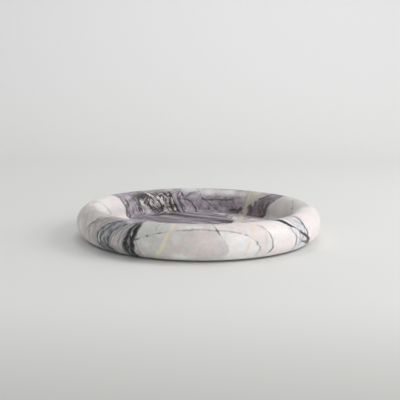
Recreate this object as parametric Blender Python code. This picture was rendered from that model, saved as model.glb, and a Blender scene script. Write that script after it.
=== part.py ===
"""Round stone tray: one turned marble body with a thick rounded rim, standing on four felt pads.

The frame is in metres with +Z up. The origin is on the surface that the tray stands on, under its centre.
"""

import math

import bmesh
import bpy

# Stone body
OUTER_RADIUS = 0.150
RIM_WIDTH = 0.0364
STONE_HEIGHT = 0.038
# How deep the flat underside is ground into the round section of the rim
UNDERSIDE_CUT = 0.001
FLOOR_THICKNESS = 0.008
# Hollow where the inner wall runs into the floor
FLOOR_FILLET = 0.007

# Felt pads, stuck to the flat underside
PAD_RADIUS = 0.011
PAD_THICKNESS = 0.0017
PAD_EDGE_ROUNDING = 0.0005
PAD_CIRCLE_RADIUS = 0.115
# Thickness of the glue film between a pad and the stone
GLUE_FILM = 0.0003

# Pad names and the directions in which the pads lie from the centre, in degrees from +X
PAD_PLACES = {
    "felt_pad_front_right": -45,
    "felt_pad_rear_right": 45,
    "felt_pad_rear_left": 135,
    "felt_pad_front_left": -135,
}

# Surfaces: colour and roughness
MARBLE_COLOUR = (0.66, 0.63, 0.64)
MARBLE_ROUGHNESS = 0.42
FELT_COLOUR = (0.16, 0.16, 0.17)
FELT_ROUGHNESS = 0.95

# Fineness of the turned shapes
BODY_SEGMENTS = 96
OUTER_ARC_STEPS = 18
INNER_ARC_STEPS = 9
FILLET_STEPS = 4
PAD_SEGMENTS = 32
PAD_EDGE_STEPS = 3

QUARTER_TURN = math.pi / 2
FULL_TURN = 2 * math.pi
# Two points nearer than this are one point, in metres
WELD_DISTANCE = 1e-6
SHARP_ANGLE = math.radians(35)

# Heights that follow from the sizes above
UNDERSIDE_Z = PAD_THICKNESS + GLUE_FILM
FLOOR_Z = UNDERSIDE_Z + FLOOR_THICKNESS


def clear_scene():
    """Removes whatever the scene holds, so that the script starts from nothing."""
    for old in list(bpy.data.objects):
        bpy.data.objects.remove(old, do_unlink=True)


def make_material(name, colour, roughness):
    """A plain surface of one colour, for a finish that is not metallic."""
    material = bpy.data.materials.new(name)
    material.use_nodes = True
    shader = material.node_tree.nodes["Principled BSDF"]
    shader.inputs["Base Color"].default_value = (*colour, 1)
    shader.inputs["Roughness"].default_value = roughness
    shader.inputs["Metallic"].default_value = 0
    return material


def arc_points(centre_r, centre_z, radius_r, radius_z, start, end, steps):
    """Points (r, z) along part of an ellipse, both ends included, with angles in radians from the +r direction."""
    points = []
    for step in range(steps + 1):
        angle = start + (end - start) * step / steps
        points.append((centre_r + radius_r * math.cos(angle), centre_z + radius_z * math.sin(angle)))
    return points


def body_profile():
    """The half section of the stone, from the edge of the underside over the rim to the edge of the flat floor."""
    half_width = RIM_WIDTH / 2
    half_height = (STONE_HEIGHT + UNDERSIDE_CUT) / 2
    centre_r = OUTER_RADIUS - half_width
    centre_z = UNDERSIDE_Z + half_height - UNDERSIDE_CUT
    underside_angle = -math.asin((half_height - UNDERSIDE_CUT) / half_height)
    fillet = min(FLOOR_FILLET, centre_z - FLOOR_Z)
    inner_radius = centre_r - half_width

    outside = arc_points(
        centre_r, centre_z, half_width, half_height, underside_angle, QUARTER_TURN, OUTER_ARC_STEPS
    )
    inside = arc_points(
        centre_r, centre_z, half_width, half_height, QUARTER_TURN, 2 * QUARTER_TURN, INNER_ARC_STEPS
    )
    hollow = arc_points(
        inner_radius - fillet, FLOOR_Z + fillet, fillet, fillet, 0, -QUARTER_TURN, FILLET_STEPS
    )
    return outside + inside[1:] + hollow


def pad_profile():
    """The half section of a pad about its own axis, from the rounded lower edge up to the glued face."""
    rounding = min(PAD_EDGE_ROUNDING, PAD_THICKNESS, PAD_RADIUS)
    lower_edge = arc_points(
        PAD_RADIUS - rounding, rounding, rounding, rounding, -QUARTER_TURN, 0, PAD_EDGE_STEPS
    )
    return lower_edge + [(PAD_RADIUS, PAD_THICKNESS)]


def turned_mesh(name, profile, segments):
    """Turns a half section about the Z axis and closes its two open ends with flat faces."""
    shape = bmesh.new()
    points = [shape.verts.new((r, 0, z)) for r, z in profile]
    edges = [shape.edges.new(pair) for pair in zip(points, points[1:])]
    bmesh.ops.spin(
        shape, geom=points + edges, cent=(0, 0, 0), axis=(0, 0, 1), angle=FULL_TURN, steps=segments
    )
    bmesh.ops.remove_doubles(shape, verts=shape.verts, dist=WELD_DISTANCE)
    open_ends = [edge for edge in shape.edges if edge.is_boundary]
    bmesh.ops.holes_fill(shape, edges=open_ends, sides=segments)
    bmesh.ops.recalc_face_normals(shape, faces=shape.faces)

    mesh = bpy.data.meshes.new(name)
    shape.to_mesh(mesh)
    shape.free()
    mesh.shade_smooth()
    mesh.set_sharp_from_angle(angle=SHARP_ANGLE)
    return mesh


def add_object(name, mesh, parent, location=(0, 0, 0)):
    """Puts a mesh in the scene as one named sub-part of the tray."""
    sub_part = bpy.data.objects.new(name, mesh)
    sub_part.location = location
    sub_part.parent = parent
    bpy.context.scene.collection.objects.link(sub_part)
    return sub_part


def add_tray_body(parent):
    """The stone: rim, wall and floor are cut from one block, as the veins that run through them show."""
    mesh = turned_mesh("tray_body", body_profile(), BODY_SEGMENTS)
    mesh.materials.append(make_material("honed_marble", MARBLE_COLOUR, MARBLE_ROUGHNESS))
    return add_object("tray_body", mesh, parent)


def add_felt_pads(parent):
    """Four like pads on one circle, each a glue film below the flat underside."""
    felt = make_material("grey_felt", FELT_COLOUR, FELT_ROUGHNESS)
    mesh = turned_mesh("felt_pad", pad_profile(), PAD_SEGMENTS)
    mesh.materials.append(felt)
    for name, direction in PAD_PLACES.items():
        angle = math.radians(direction)
        place = (PAD_CIRCLE_RADIUS * math.cos(angle), PAD_CIRCLE_RADIUS * math.sin(angle), 0)
        add_object(name, mesh, parent, place)


def build_tray():
    """Models the whole tray."""
    clear_scene()
    tray = bpy.data.objects.new("tray", None)
    bpy.context.scene.collection.objects.link(tray)
    add_tray_body(tray)
    add_felt_pads(tray)


build_tray()
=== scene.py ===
"""Dresses the round stone tray: a veined marble body on four felt pads, in a plain pale studio.

Everything is in the frame of the CAD model: metres, +Z up, -Y towards the viewer, +X to the viewer's right.
The stone's veins are placed in millimetres and degrees, by one of two ways of saying where a point lies:
in plan, as x and y, or on the skin, as azimuth and girth. Azimuth is 0 towards the viewer and grows to the
viewer's right, and girth is the way along the section, from the edge of the underside over the rim to the
middle of the floor.
"""

import logging
import math
from collections.abc import Sequence
from dataclasses import dataclass, field
from enum import Enum

import bpy
import numpy as np
from mathutils import Matrix, Vector, noise


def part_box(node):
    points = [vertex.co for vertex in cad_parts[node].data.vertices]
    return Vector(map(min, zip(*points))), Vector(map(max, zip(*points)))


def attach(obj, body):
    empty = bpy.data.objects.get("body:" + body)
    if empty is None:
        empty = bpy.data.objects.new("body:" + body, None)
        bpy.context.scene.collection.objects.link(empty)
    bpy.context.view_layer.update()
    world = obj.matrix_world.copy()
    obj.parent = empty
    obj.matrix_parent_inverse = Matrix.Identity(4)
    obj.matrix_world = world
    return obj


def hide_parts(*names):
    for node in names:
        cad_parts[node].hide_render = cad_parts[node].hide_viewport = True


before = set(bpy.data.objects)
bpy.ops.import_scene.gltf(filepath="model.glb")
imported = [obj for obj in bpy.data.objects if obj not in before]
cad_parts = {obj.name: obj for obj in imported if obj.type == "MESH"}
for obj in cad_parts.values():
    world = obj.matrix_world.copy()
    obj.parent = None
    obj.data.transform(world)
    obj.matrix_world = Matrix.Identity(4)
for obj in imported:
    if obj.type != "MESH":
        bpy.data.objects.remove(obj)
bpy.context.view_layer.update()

MM = 0.001
QUARTER_TURN = math.pi / 2
FULL_TURN = 2 * math.pi
FULL_TURN_DEG = 360.0
QUARTER_TURN_DEG = 90.0
DEG_PER_RADIAN = 180.0 / math.pi
DIMENSIONS = 3
HALF = 0.5
SHARP_ANGLE = math.radians(40)

log = logging.getLogger("stone_tray")

Colour = tuple[float, float, float]
Point = tuple[float, float, float]
Span = tuple[float, float]
Socket = bpy.types.NodeSocket
Value = float | Socket
ColourValue = Colour | Socket
Feed = float | Point | Socket
# A vein's stops: the way along it, where it lies across, and half its width. A route has the first two.
Stops = tuple[Point, ...]
Route = tuple[Span, ...]


@dataclass(frozen=True)
class Cloud:
    """A random cloud: its width in millimetres, how many finer ones lie in it, and how strong they are."""

    size: float
    detail: float = 2.0
    rough: float = 0.5


@dataclass(frozen=True)
class Axes:
    """The three parts of a place, as sockets."""

    x: Socket
    y: Socket
    z: Socket


# Places in millimetres that are so far apart that the random clouds there have nothing in common
CLOUD_STARTS = ((0.0, 0.0, 0.0), (410.0, 0.0, 130.0), (0.0, 570.0, 290.0))
# The numbers of the mix node's sockets for colours: two inputs and the output
MIX_FIRST, MIX_SECOND, MIXED = 6, 7, 2


class NodeWriter:
    """Writes nodes in one tree, in the order in which they are worked out. Places are in millimetres."""

    def __init__(self, tree: bpy.types.NodeTree) -> None:
        """Takes the tree to write in."""
        self.tree = tree

    def _node(self, kind: str, feeds: dict[int | str, Feed | None], **settings: object) -> bpy.types.Node:
        """Adds a node.

        Args:
            kind: The node's type.
            feeds: What goes in its inputs, by their numbers or names. None leaves an input alone.
            settings: Its properties.

        Returns:
            The node.
        """
        node = self.tree.nodes.new(kind)
        for name, value in settings.items():
            setattr(node, name, value)
        for key, value in feeds.items():
            if value is not None:
                self._feed(node.inputs[key], value)
        return node

    def _feed(self, socket: Socket, value: Feed) -> None:
        """Links a socket to an input, or writes a constant in it.

        Args:
            socket: The input.
            value: A socket, a number, a vector or a colour.
        """
        if isinstance(value, bpy.types.NodeSocket):
            self.tree.links.new(value, socket)
        elif isinstance(value, (int, float)) and socket.type == "VECTOR":
            socket.default_value = (value, value, value)
        elif isinstance(value, tuple) and socket.type == "RGBA":
            socket.default_value = (*value, 1)
        else:
            socket.default_value = value

    def math(self, operation: str, a: Value, b: Value | None = None, c: Value | None = None) -> Socket:
        """Works out one number from up to three, by an operation of the math node."""
        return self._node("ShaderNodeMath", {0: a, 1: b, 2: c}, operation=operation).outputs[0]

    def clamp(self, value: Value) -> Socket:
        """Keeps a number between 0 and 1."""
        return self._node("ShaderNodeClamp", {"Value": value}).outputs[0]

    def vector_math(self, operation: str, a: Feed, b: Feed | None = None,
                    scale: float | None = None) -> Socket:
        """Works out one vector from up to two, or a number for the operations LENGTH and DOT_PRODUCT."""
        node = self._node("ShaderNodeVectorMath", {0: a, 1: b, "Scale": scale}, operation=operation)
        return node.outputs["Value" if operation in ("LENGTH", "DOT_PRODUCT") else "Vector"]

    def slope(self, value: Value, start: float, end: float) -> Socket:
        """Maps a number to 0 at the start and 1 at the end, straight between them and level outside."""
        return self.clamp(self.math("MULTIPLY_ADD", value, 1 / (end - start), -start / (end - start)))

    def step(self, value: Value, start: float, end: float) -> Socket:
        """Maps a number to 0 at the start and 1 at the end, with an S-shaped way between them."""
        node = self._node("ShaderNodeMapRange", {"Value": value, "From Min": start, "From Max": end},
                          interpolation_type="SMOOTHSTEP", clamp=False)
        return node.outputs["Result"]

    def mix(self, amount: Value, a: ColourValue, b: ColourValue, blend: str = "MIX") -> Socket:
        """Mixes some of a second colour into the first, in the way that the blend names."""
        feeds = {0: amount, MIX_FIRST: a, MIX_SECOND: b}
        return self._node("ShaderNodeMix", feeds, data_type="RGBA", blend_type=blend).outputs[MIXED]

    def curve(self, value: Socket, points: Sequence[Span]) -> Socket:
        """Reads a smooth line that runs through some points, and is level beyond the first and the last.

        Args:
            value: The way along the line.
            points: The line's points, along and across.

        Returns:
            The line's height there.
        """
        node = self._node("ShaderNodeFloatCurve", {"Value": value})
        mapping = node.mapping
        mapping.extend = "HORIZONTAL"
        mapping.use_clip = False
        line = mapping.curves[0]
        while len(line.points) < len(points):
            line.points.new(0, 0)
        for point, (along, across) in zip(line.points, points):
            point.location = (along, across)
            point.handle_type = "AUTO_CLAMPED"
        mapping.update()
        return node.outputs[0]

    def object_place(self) -> Socket:
        """Gives the place on the object, in metres."""
        return self._node("ShaderNodeTexCoord", {}).outputs["Object"]

    def attribute(self, name: str) -> Socket:
        """Gives a number that is kept with the mesh, by its name."""
        return self._node("ShaderNodeAttribute", {}, attribute_name=name).outputs["Fac"]

    def split(self, vector: Socket) -> Axes:
        """Splits a vector in its three parts."""
        return Axes(*self._node("ShaderNodeSeparateXYZ", {0: vector}).outputs)

    def join(self, x: Value, y: Value, z: Value) -> Socket:
        """Joins three numbers in a vector."""
        return self._node("ShaderNodeCombineXYZ", {0: x, 1: y, 2: z}).outputs[0]

    def grey(self, value: Value) -> Socket:
        """Makes a grey of how light it is."""
        return self._node("ShaderNodeCombineColor", {0: value, 1: value, 2: value}).outputs[0]

    def noise(self, place: Socket, cloud: Cloud) -> Socket:
        """Gives a random cloud, between 0 and 1."""
        feeds = {"Vector": place, "Scale": 1 / cloud.size, "Detail": cloud.detail, "Roughness": cloud.rough}
        return self._node("ShaderNodeTexNoise", feeds, normalize=True).outputs["Fac"]

    def drift(self, place: Socket, cloud: Cloud) -> Socket:
        """Gives a random vector from three clouds, whose parts lie between -0.5 and 0.5."""
        parts = [self.noise(self.vector_math("ADD", place, start), cloud) for start in CLOUD_STARTS]
        return self.vector_math("SUBTRACT", self.join(*parts), HALF)

    def cell_edges(self, place: Socket, size: float) -> Socket:
        """Gives the distance to the joints between random cells of a size, in cell widths."""
        feeds = {"Vector": place, "Scale": 1 / size}
        return self._node("ShaderNodeTexVoronoi", feeds, feature="DISTANCE_TO_EDGE").outputs["Distance"]

    def cells(self, place: Socket, size: float) -> Socket:
        """Gives each of many random angular cells of a size a number of its own, between 0 and 1."""
        node = self._node("ShaderNodeTexVoronoi", {"Vector": place, "Scale": 1 / size}, feature="F1")
        return self._node("ShaderNodeSeparateColor", {"Color": node.outputs["Color"]}).outputs["Red"]

    def group(self, group: "NodeGroup", values: dict[int | str, Feed | None]) -> Socket:
        """Uses a group of nodes, given what is fed to its inputs by their names."""
        return self._node("ShaderNodeGroup", values, node_tree=group.tree).outputs[0]


class NodeGroup(NodeWriter):
    """Writes a group of nodes, which is one node in the tree that uses it."""

    def __init__(self, name: str, numbers: tuple[str, ...], colours: tuple[str, ...]) -> None:
        """Starts an empty group.

        Args:
            name: The group's name.
            numbers: The names of its inputs that are numbers.
            colours: The names of its inputs that are colours.
        """
        super().__init__(bpy.data.node_groups.new(name, "ShaderNodeTree"))
        for kind, inputs in (("NodeSocketFloat", numbers), ("NodeSocketColor", colours)):
            for title in inputs:
                self.tree.interface.new_socket(name=title, in_out="INPUT", socket_type=kind)
        start = self._node("NodeGroupInput", {})
        self.given = {socket.name: socket for socket in start.outputs if socket.name}

    def give(self, colour: Socket) -> "NodeGroup":
        """Closes the group with the colour that it gives.

        Args:
            colour: The colour.

        Returns:
            The group itself.
        """
        self.tree.interface.new_socket(name="Colour", in_out="OUTPUT", socket_type="NodeSocketColor")
        self._node("NodeGroupOutput", {0: colour})
        return self


class Shader(NodeWriter):
    """Writes the nodes of one material."""

    def __init__(self, name: str) -> None:
        """Starts an empty material.

        Args:
            name: The material's name.
        """
        self.material = bpy.data.materials.new(name)
        self.material.use_nodes = True
        super().__init__(self.material.node_tree)
        self.tree.nodes.clear()

    def surface(self, colour: ColourValue, roughness: Value, specular: float = 0.5,
                height: Socket | None = None, depth: float = 0.0) -> bpy.types.Material:
        """Closes the material with a surface.

        Args:
            colour: The surface's colour.
            roughness: Its roughness.
            specular: How much it reflects.
            height: The height of its fine relief, between 0 and 1.
            depth: The depth of that relief, in metres.

        Returns:
            The material.
        """
        feeds = {"Base Color": colour, "Roughness": roughness, "Specular IOR Level": specular}
        node = self._node("ShaderNodeBsdfPrincipled", feeds)
        if height is not None:
            relief = self._node("ShaderNodeBump", {"Distance": depth, "Height": height})
            self._feed(node.inputs["Normal"], relief.outputs["Normal"])
        self._node("ShaderNodeOutputMaterial", {"Surface": node.outputs["BSDF"]})
        return self.material


@dataclass(frozen=True)
class PhotoCamera:
    """The camera as fitted to the tray's outline in the photograph."""

    distance_y: float = 0.8592
    height: float = 0.1851
    pitch_deg: float = 9.28
    roll_deg: float = 0.45
    yaw_deg: float = 0.085
    lens_mm: float = 63.0
    sensor_mm: float = 36.0

    def build(self) -> None:
        """Adds the camera and makes it the scene's own."""
        data = bpy.data.cameras.new("photo_camera")
        data.lens = self.lens_mm
        data.sensor_width = self.sensor_mm
        camera = bpy.data.objects.new("photo_camera", data)
        bpy.context.scene.collection.objects.link(camera)
        turn = Matrix.Rotation(-math.radians(self.yaw_deg), DIMENSIONS, "Z")
        tilt = Matrix.Rotation(QUARTER_TURN - math.radians(self.pitch_deg), DIMENSIONS, "X")
        roll = Matrix.Rotation(math.radians(self.roll_deg), DIMENSIONS, "Z")
        camera.rotation_euler = (turn @ tilt @ roll).to_euler()
        camera.location = (0, -self.distance_y, self.height)
        bpy.context.scene.camera = camera


@dataclass(frozen=True)
class Softbox:
    """One square lamp with a cloth front, which faces the tray."""

    name: str
    place: Point
    size: float
    power: float
    aim: Point = (0.0, 0.0, 0.0)

    def build(self) -> None:
        """Adds the lamp."""
        data = bpy.data.lights.new(self.name, "AREA")
        data.size = self.size
        data.energy = self.power
        lamp = bpy.data.objects.new(self.name, data)
        bpy.context.scene.collection.objects.link(lamp)
        lamp.location = self.place
        lamp.rotation_euler = (Vector(self.aim) - Vector(self.place)).to_track_quat("-Z", "Y").to_euler()


@dataclass(frozen=True)
class Studio:
    """The pale swept backdrop and the lamps, which are not part of the tray."""

    half_width: float = 5.0
    front_y: float = -5.0
    sweep_start_y: float = 0.9
    sweep_radius: float = 0.8
    wall_height: float = 4.0
    sweep_steps: int = 24
    floor_colour: Colour = (0.815, 0.815, 0.80)
    wall_colour: Colour = (0.92, 0.93, 0.925)
    # The floor fades to this colour towards the camera: painted shade that stands in for the lamps' falloff
    painted_shade_colour: Colour = (0.50, 0.495, 0.48)
    painted_shade_from: float = -0.25
    painted_shade_to: float = -0.62
    roughness: float = 0.9
    specular: float = 0.2
    sky_colour: Colour = (1.0, 1.0, 1.0)
    sky_strength: float = 0.5
    lamps: tuple[Softbox, ...] = (
        Softbox("key_softbox", (1.45, -0.3, 0.95), 0.9, 12.3),
        Softbox("fill_softbox", (0.6, -1.6, 0.36), 0.8, 4.8),
        Softbox("wall_softbox", (0.1, 0.55, 2.4), 1.0, 9.5, aim=(0.1, 1.7, 0.5)),
    )

    def build(self) -> None:
        """Adds the backdrop, the even light and the lamps."""
        self._add_backdrop()
        world = bpy.data.worlds.new("studio_air")
        world.use_nodes = True
        sky = world.node_tree.nodes["Background"]
        sky.inputs["Color"].default_value = (*self.sky_colour, 1)
        sky.inputs["Strength"].default_value = self.sky_strength
        bpy.context.scene.world = world
        for lamp in self.lamps:
            lamp.build()

    def _add_backdrop(self) -> None:
        """Adds one sheet that is the floor in front and sweeps up into the wall behind."""
        line = [(self.front_y, 0.0)]
        for step in range(self.sweep_steps + 1):
            angle = QUARTER_TURN * step / self.sweep_steps
            line.append((
                self.sweep_start_y + self.sweep_radius * math.sin(angle),
                self.sweep_radius * (1 - math.cos(angle)),
            ))
        line.append((self.sweep_start_y + self.sweep_radius, self.wall_height))
        points = [(side * self.half_width, y, z) for y, z in line for side in (-1, 1)]
        faces = [(2 * i, 2 * i + 1, 2 * i + 3, 2 * i + 2) for i in range(len(line) - 1)]
        mesh = bpy.data.meshes.new("backdrop")
        mesh.from_pydata(points, [], faces)
        mesh.shade_smooth()
        mesh.materials.append(self._paper())
        backdrop = bpy.data.objects.new("backdrop", mesh)
        bpy.context.scene.collection.objects.link(backdrop)

    def _paper(self) -> bpy.types.Material:
        """Makes the backdrop's paper, a little lighter on the wall, and darker towards the camera with
        painted shade.

        Returns:
            The material.
        """
        paper = Shader("backdrop_paper")
        place = paper.split(paper.object_place())
        wall = paper.slope(place.y, self.sweep_start_y, self.sweep_start_y + self.sweep_radius)
        # Painted shade: the floor darkens towards the camera
        shade = paper.step(place.y, self.painted_shade_from, self.painted_shade_to)
        colour = paper.mix(wall, self.floor_colour, self.wall_colour)
        colour = paper.mix(shade, colour, self.painted_shade_colour)
        return paper.surface(colour, roughness=self.roughness, specular=self.specular)


@dataclass(frozen=True)
class Section:
    """The half section that is turned into the stone, with the same sizes as the CAD model."""

    outer_radius: float
    underside_z: float
    top_z: float
    rim_width: float = 0.0364
    underside_cut: float = 0.001
    floor_thickness: float = 0.008
    floor_fillet: float = 0.007
    eased_edge: float = 0.0006
    eased_steps: int = 4
    outer_steps: int = 44
    inner_steps: int = 26
    wall_steps: int = 2
    fillet_steps: int = 10

    def rim(self) -> np.ndarray:
        """Works out the section from the flat underside over the rim to the edge of the flat floor.

        Returns:
            Rows of radius, height and girth, where the girth is 0 at the arris of the underside.
        """
        half_width = self.rim_width / 2
        half_height = (self.top_z - self.underside_z + self.underside_cut) / 2
        centre_r = self.outer_radius - half_width
        centre_z = self.top_z - half_height
        lowest = -math.asin((half_height - self.underside_cut) / half_height)
        inner_radius = centre_r - half_width
        floor_z = self.underside_z + self.floor_thickness
        fillet_r, fillet_z = inner_radius - self.floor_fillet, floor_z + self.floor_fillet

        turns = np.r_[
            np.linspace(lowest, QUARTER_TURN, self.outer_steps + 1),
            np.linspace(QUARTER_TURN, math.pi, self.inner_steps + 1)[1:],
        ]
        oval = np.c_[centre_r + half_width * np.cos(turns), centre_z + half_height * np.sin(turns)]
        drop = np.linspace(centre_z, fillet_z, self.wall_steps + 1)[1:]
        wall = np.c_[np.full(len(drop), inner_radius), drop]
        turns = np.linspace(0, -QUARTER_TURN, self.fillet_steps + 1)[1:]
        fillet = np.c_[
            fillet_r + self.floor_fillet * np.cos(turns),
            fillet_z + self.floor_fillet * np.sin(turns),
        ]
        line = np.r_[self._eased_arris(oval[0], oval[1]), oval[1:], wall, fillet]
        run = np.r_[0, np.cumsum(np.hypot(*np.diff(line, axis=0).T))]
        return np.c_[line, run - self.eased_edge]

    def _eased_arris(self, arris: np.ndarray, above: np.ndarray) -> np.ndarray:
        """Rounds the arris between the underside and the outer face.

        Args:
            arris: The point where the two meet.
            above: The next point of the outer face.

        Returns:
            The points of the small rounding, from the underside up.
        """
        start = arris - (self.eased_edge, 0)
        end = arris + self.eased_edge * (above - arris) / np.linalg.norm(above - arris)
        way = np.linspace(0, 1, self.eased_steps + 1)[:, None]
        return (1 - way) ** 2 * start + 2 * way * (1 - way) * arris + way ** 2 * end


@dataclass(frozen=True)
class BakeSheet:
    """Where the stone's skin lies on its unfolded square: two long strips below two discs."""

    strip_left: float = 0.01
    strip_width: float = 0.98
    strip_bottoms: Span = (0.01, 0.235)
    strip_height: float = 0.205
    disc_scale: float = 1.93
    underside_centre: Span = (0.28, 0.725)
    floor_centre: Span = (0.775, 0.725)

    def on_strip(self, turn: float, half: int, rise: float) -> Span:
        """Places a point of the rim by its way round and up, 0 to 1, and the half that its face is in."""
        return (
            self.strip_left + self.strip_width * (2 * turn - half),
            self.strip_bottoms[half] + self.strip_height * rise,
        )

    def on_disc(self, centre: Span, x: float, y: float) -> Span:
        """Places a point of the floor or the underside, given the disc's centre and its place in plan."""
        return centre[0] + self.disc_scale * x, centre[1] + self.disc_scale * y


@dataclass(frozen=True)
class Ring:
    """One ring of points of the turned mesh."""

    first: int
    count: int
    radius: float


@dataclass(frozen=True)
class Disc:
    """A flat disc of the mesh: whether its face looks up, 1, or down, -1, and its centre on the sheet."""

    way: int
    centre: Span


@dataclass
class TurnedStone:
    """Builds the stone's mesh, with fewer points round as the rings get smaller."""

    section: Section
    sheet: BakeSheet = BakeSheet()
    segments: int = 320
    shortest_side: float = 0.0016
    disc_pace: float = 0.007
    points: list[Point] = field(default_factory=list)
    girths: list[float] = field(default_factory=list)
    faces: list[tuple[int, ...]] = field(default_factory=list)
    unfolded: list[Span] = field(default_factory=list)

    def build(self) -> bpy.types.Mesh:
        """Turns the section.

        Returns:
            The mesh, with the girth of each point in millimetres and with its place on the bake sheet.
        """
        rim = self.section.rim()
        rings = [self._add_ring(radius, z, girth, self.segments) for radius, z, girth in rim]
        rises = (rim[:, 2] - rim[0, 2]) / (rim[-1, 2] - rim[0, 2])
        for lower, upper, low, high in zip(rings, rings[1:], rises, rises[1:]):
            self._add_band(lower, upper, low, high)
        self._add_disc(rings[0], rim[0], Disc(-1, self.sheet.underside_centre))
        self._add_disc(rings[-1], rim[-1], Disc(1, self.sheet.floor_centre))

        mesh = bpy.data.meshes.new("marble_body")
        mesh.from_pydata(self.points, [], self.faces)
        girth = mesh.attributes.new("girth_mm", "FLOAT", "POINT")
        girth.data.foreach_set("value", np.array(self.girths, np.float32) / MM)
        unfolded = mesh.uv_layers.new(name="OFBake")
        unfolded.data.foreach_set("uv", np.array(self.unfolded, np.float32).ravel())
        mesh.shade_smooth()
        mesh.set_sharp_from_angle(angle=SHARP_ANGLE)
        return mesh

    def _add_ring(self, radius: float, z: float, girth: float, count: int) -> Ring:
        """Adds one ring of points, from the back over the viewer's left round to the back again.

        Args:
            radius: The ring's radius.
            z: Its height.
            girth: Its way along the section.
            count: Its number of points.

        Returns:
            The ring.
        """
        ring = Ring(len(self.points), count, radius)
        for index in range(count):
            angle = FULL_TURN * index / count
            self.points.append((-radius * math.sin(angle), radius * math.cos(angle), z))
        self.girths += [girth] * count
        return ring

    def _add_band(self, lower: Ring, upper: Ring, low: float, high: float) -> None:
        """Joins two rings of the rim with four-sided faces.

        Args:
            lower: The ring nearer to the underside.
            upper: The ring nearer to the floor.
            low: The lower ring's rise on the bake sheet.
            high: The upper ring's rise on the bake sheet.
        """
        for index in range(lower.count):
            after = (index + 1) % lower.count
            self.faces.append((
                lower.first + index, lower.first + after, upper.first + after, upper.first + index,
            ))
            half = 2 * index // lower.count
            turns = index / lower.count, (index + 1) / lower.count
            for turn, rise in ((turns[0], low), (turns[1], low), (turns[1], high), (turns[0], high)):
                self.unfolded.append(self.sheet.on_strip(turn, half, rise))

    def _add_disc(self, edge: Ring, start: np.ndarray, disc: Disc) -> None:
        """Fills the floor or the underside with rings down to one middle point.

        Args:
            edge: The ring at the disc's edge.
            start: The radius, height and girth of that ring.
            disc: The disc. Its girth grows towards the middle if its face looks up.
        """
        radius, z, girth = start
        outer = edge
        while outer.radius > self.disc_pace:
            inner_radius = max(outer.radius - self.disc_pace, outer.radius / 2)
            short = FULL_TURN * inner_radius / outer.count < self.shortest_side
            count = outer.count // 2 if short and outer.count % 2 == 0 else outer.count
            inner = self._add_ring(inner_radius, z, girth + disc.way * (radius - inner_radius), count)
            self._join_on_disc(outer, inner, disc)
            outer = inner
        middle = self._add_ring(0, z, girth + disc.way * radius, 1)
        for index in range(outer.count):
            after = (index + 1) % outer.count
            self._add_disc_face((outer.first + index, outer.first + after, middle.first), disc)

    def _join_on_disc(self, outer: Ring, inner: Ring, disc: Disc) -> None:
        """Joins two rings of a disc, of which the inner one may have half as many points.

        Args:
            outer: The outer ring.
            inner: The inner ring.
            disc: The disc.
        """
        for index in range(inner.count):
            near, far = inner.first + index, inner.first + (index + 1) % inner.count
            if outer.count == inner.count:
                start, end = outer.first + index, outer.first + (index + 1) % outer.count
                self._add_disc_face((start, end, far, near), disc)
                continue
            start, half = outer.first + 2 * index, outer.first + 2 * index + 1
            end = outer.first + (2 * index + 2) % outer.count
            self._add_disc_face((start, half, near), disc)
            self._add_disc_face((half, far, near), disc)
            self._add_disc_face((half, end, far), disc)

    def _add_disc_face(self, corners: tuple[int, ...], disc: Disc) -> None:
        """Adds one face of a disc.

        Args:
            corners: Its corners, in the order that looks up.
            disc: The disc.
        """
        ordered = corners[::disc.way]
        self.faces.append(ordered)
        for corner in ordered:
            x, y, _ = self.points[corner]
            self.unfolded.append(self.sheet.on_disc(disc.centre, x, y))


class Tone(Enum):
    """The stone's own colours, as it would look in plain white light."""

    WARM_WHITE = (0.88, 0.82, 0.805)
    ROSE_WHITE = (0.90, 0.83, 0.82)
    COOL_WHITE = (0.88, 0.89, 0.88)
    ICE = (0.80, 0.83, 0.86)
    PEARL = (0.74, 0.73, 0.71)
    BLUSH = (0.76, 0.69, 0.68)
    ROSE = (0.72, 0.62, 0.61)
    SHELL = (0.64, 0.60, 0.58)
    CELADON = (0.56, 0.575, 0.54)
    MIST = (0.50, 0.50, 0.50)
    TAUPE = (0.45, 0.405, 0.40)
    LILAC = (0.355, 0.292, 0.35)
    MAUVE = (0.53, 0.473, 0.53)
    HEATHER = (0.275, 0.233, 0.27)
    STEEL = (0.27, 0.275, 0.295)
    SLATE = (0.15, 0.155, 0.17)
    PLUM = (0.19, 0.155, 0.155)
    UMBER = (0.11, 0.085, 0.085)
    ASH = (0.36, 0.36, 0.37)
    LEAD = (0.16, 0.165, 0.18)
    COAL = (0.06, 0.062, 0.07)
    BARK = (0.05, 0.038, 0.036)
    INK = (0.014, 0.013, 0.015)
    AMBER = (0.72, 0.62, 0.42)
    STRAW = (0.82, 0.74, 0.56)
    CREAM = (0.52, 0.49, 0.42)


class Run(Enum):
    """How a vein runs, and so what its stops mean: first the way along it, then where it lies across."""

    ALONG_X = "in plan: x, then y"
    ALONG_Y = "in plan: y, then x"
    UP_FRONT = "on the skin: girth, then azimuth from -180 to 180"
    UP_BACK = "on the skin: girth, then azimuth from 0 to 360"
    ROUND_FRONT = "on the skin: azimuth from -180 to 180, then girth"
    ROUND_BACK = "on the skin: azimuth from 0 to 360, then girth"


class Zone(Enum):
    """A part of the skin that a vein is kept to."""

    WHOLE = "the whole stone"
    FRONT_FACE = "the outer face and the crest, on the side towards the viewer"
    REAR_WALL = "the inner face and the crest on the far side, fading down the outer face"
    ELSEWHERE = "all but those two"


# The way over which a vein runs out at its ends, in the measure that runs along it
END_FADES = {
    Run.ALONG_X: 4.0, Run.ALONG_Y: 4.0,
    Run.UP_FRONT: 2.0, Run.UP_BACK: 2.0,
    Run.ROUND_FRONT: 0.9, Run.ROUND_BACK: 0.9,
}


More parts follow.
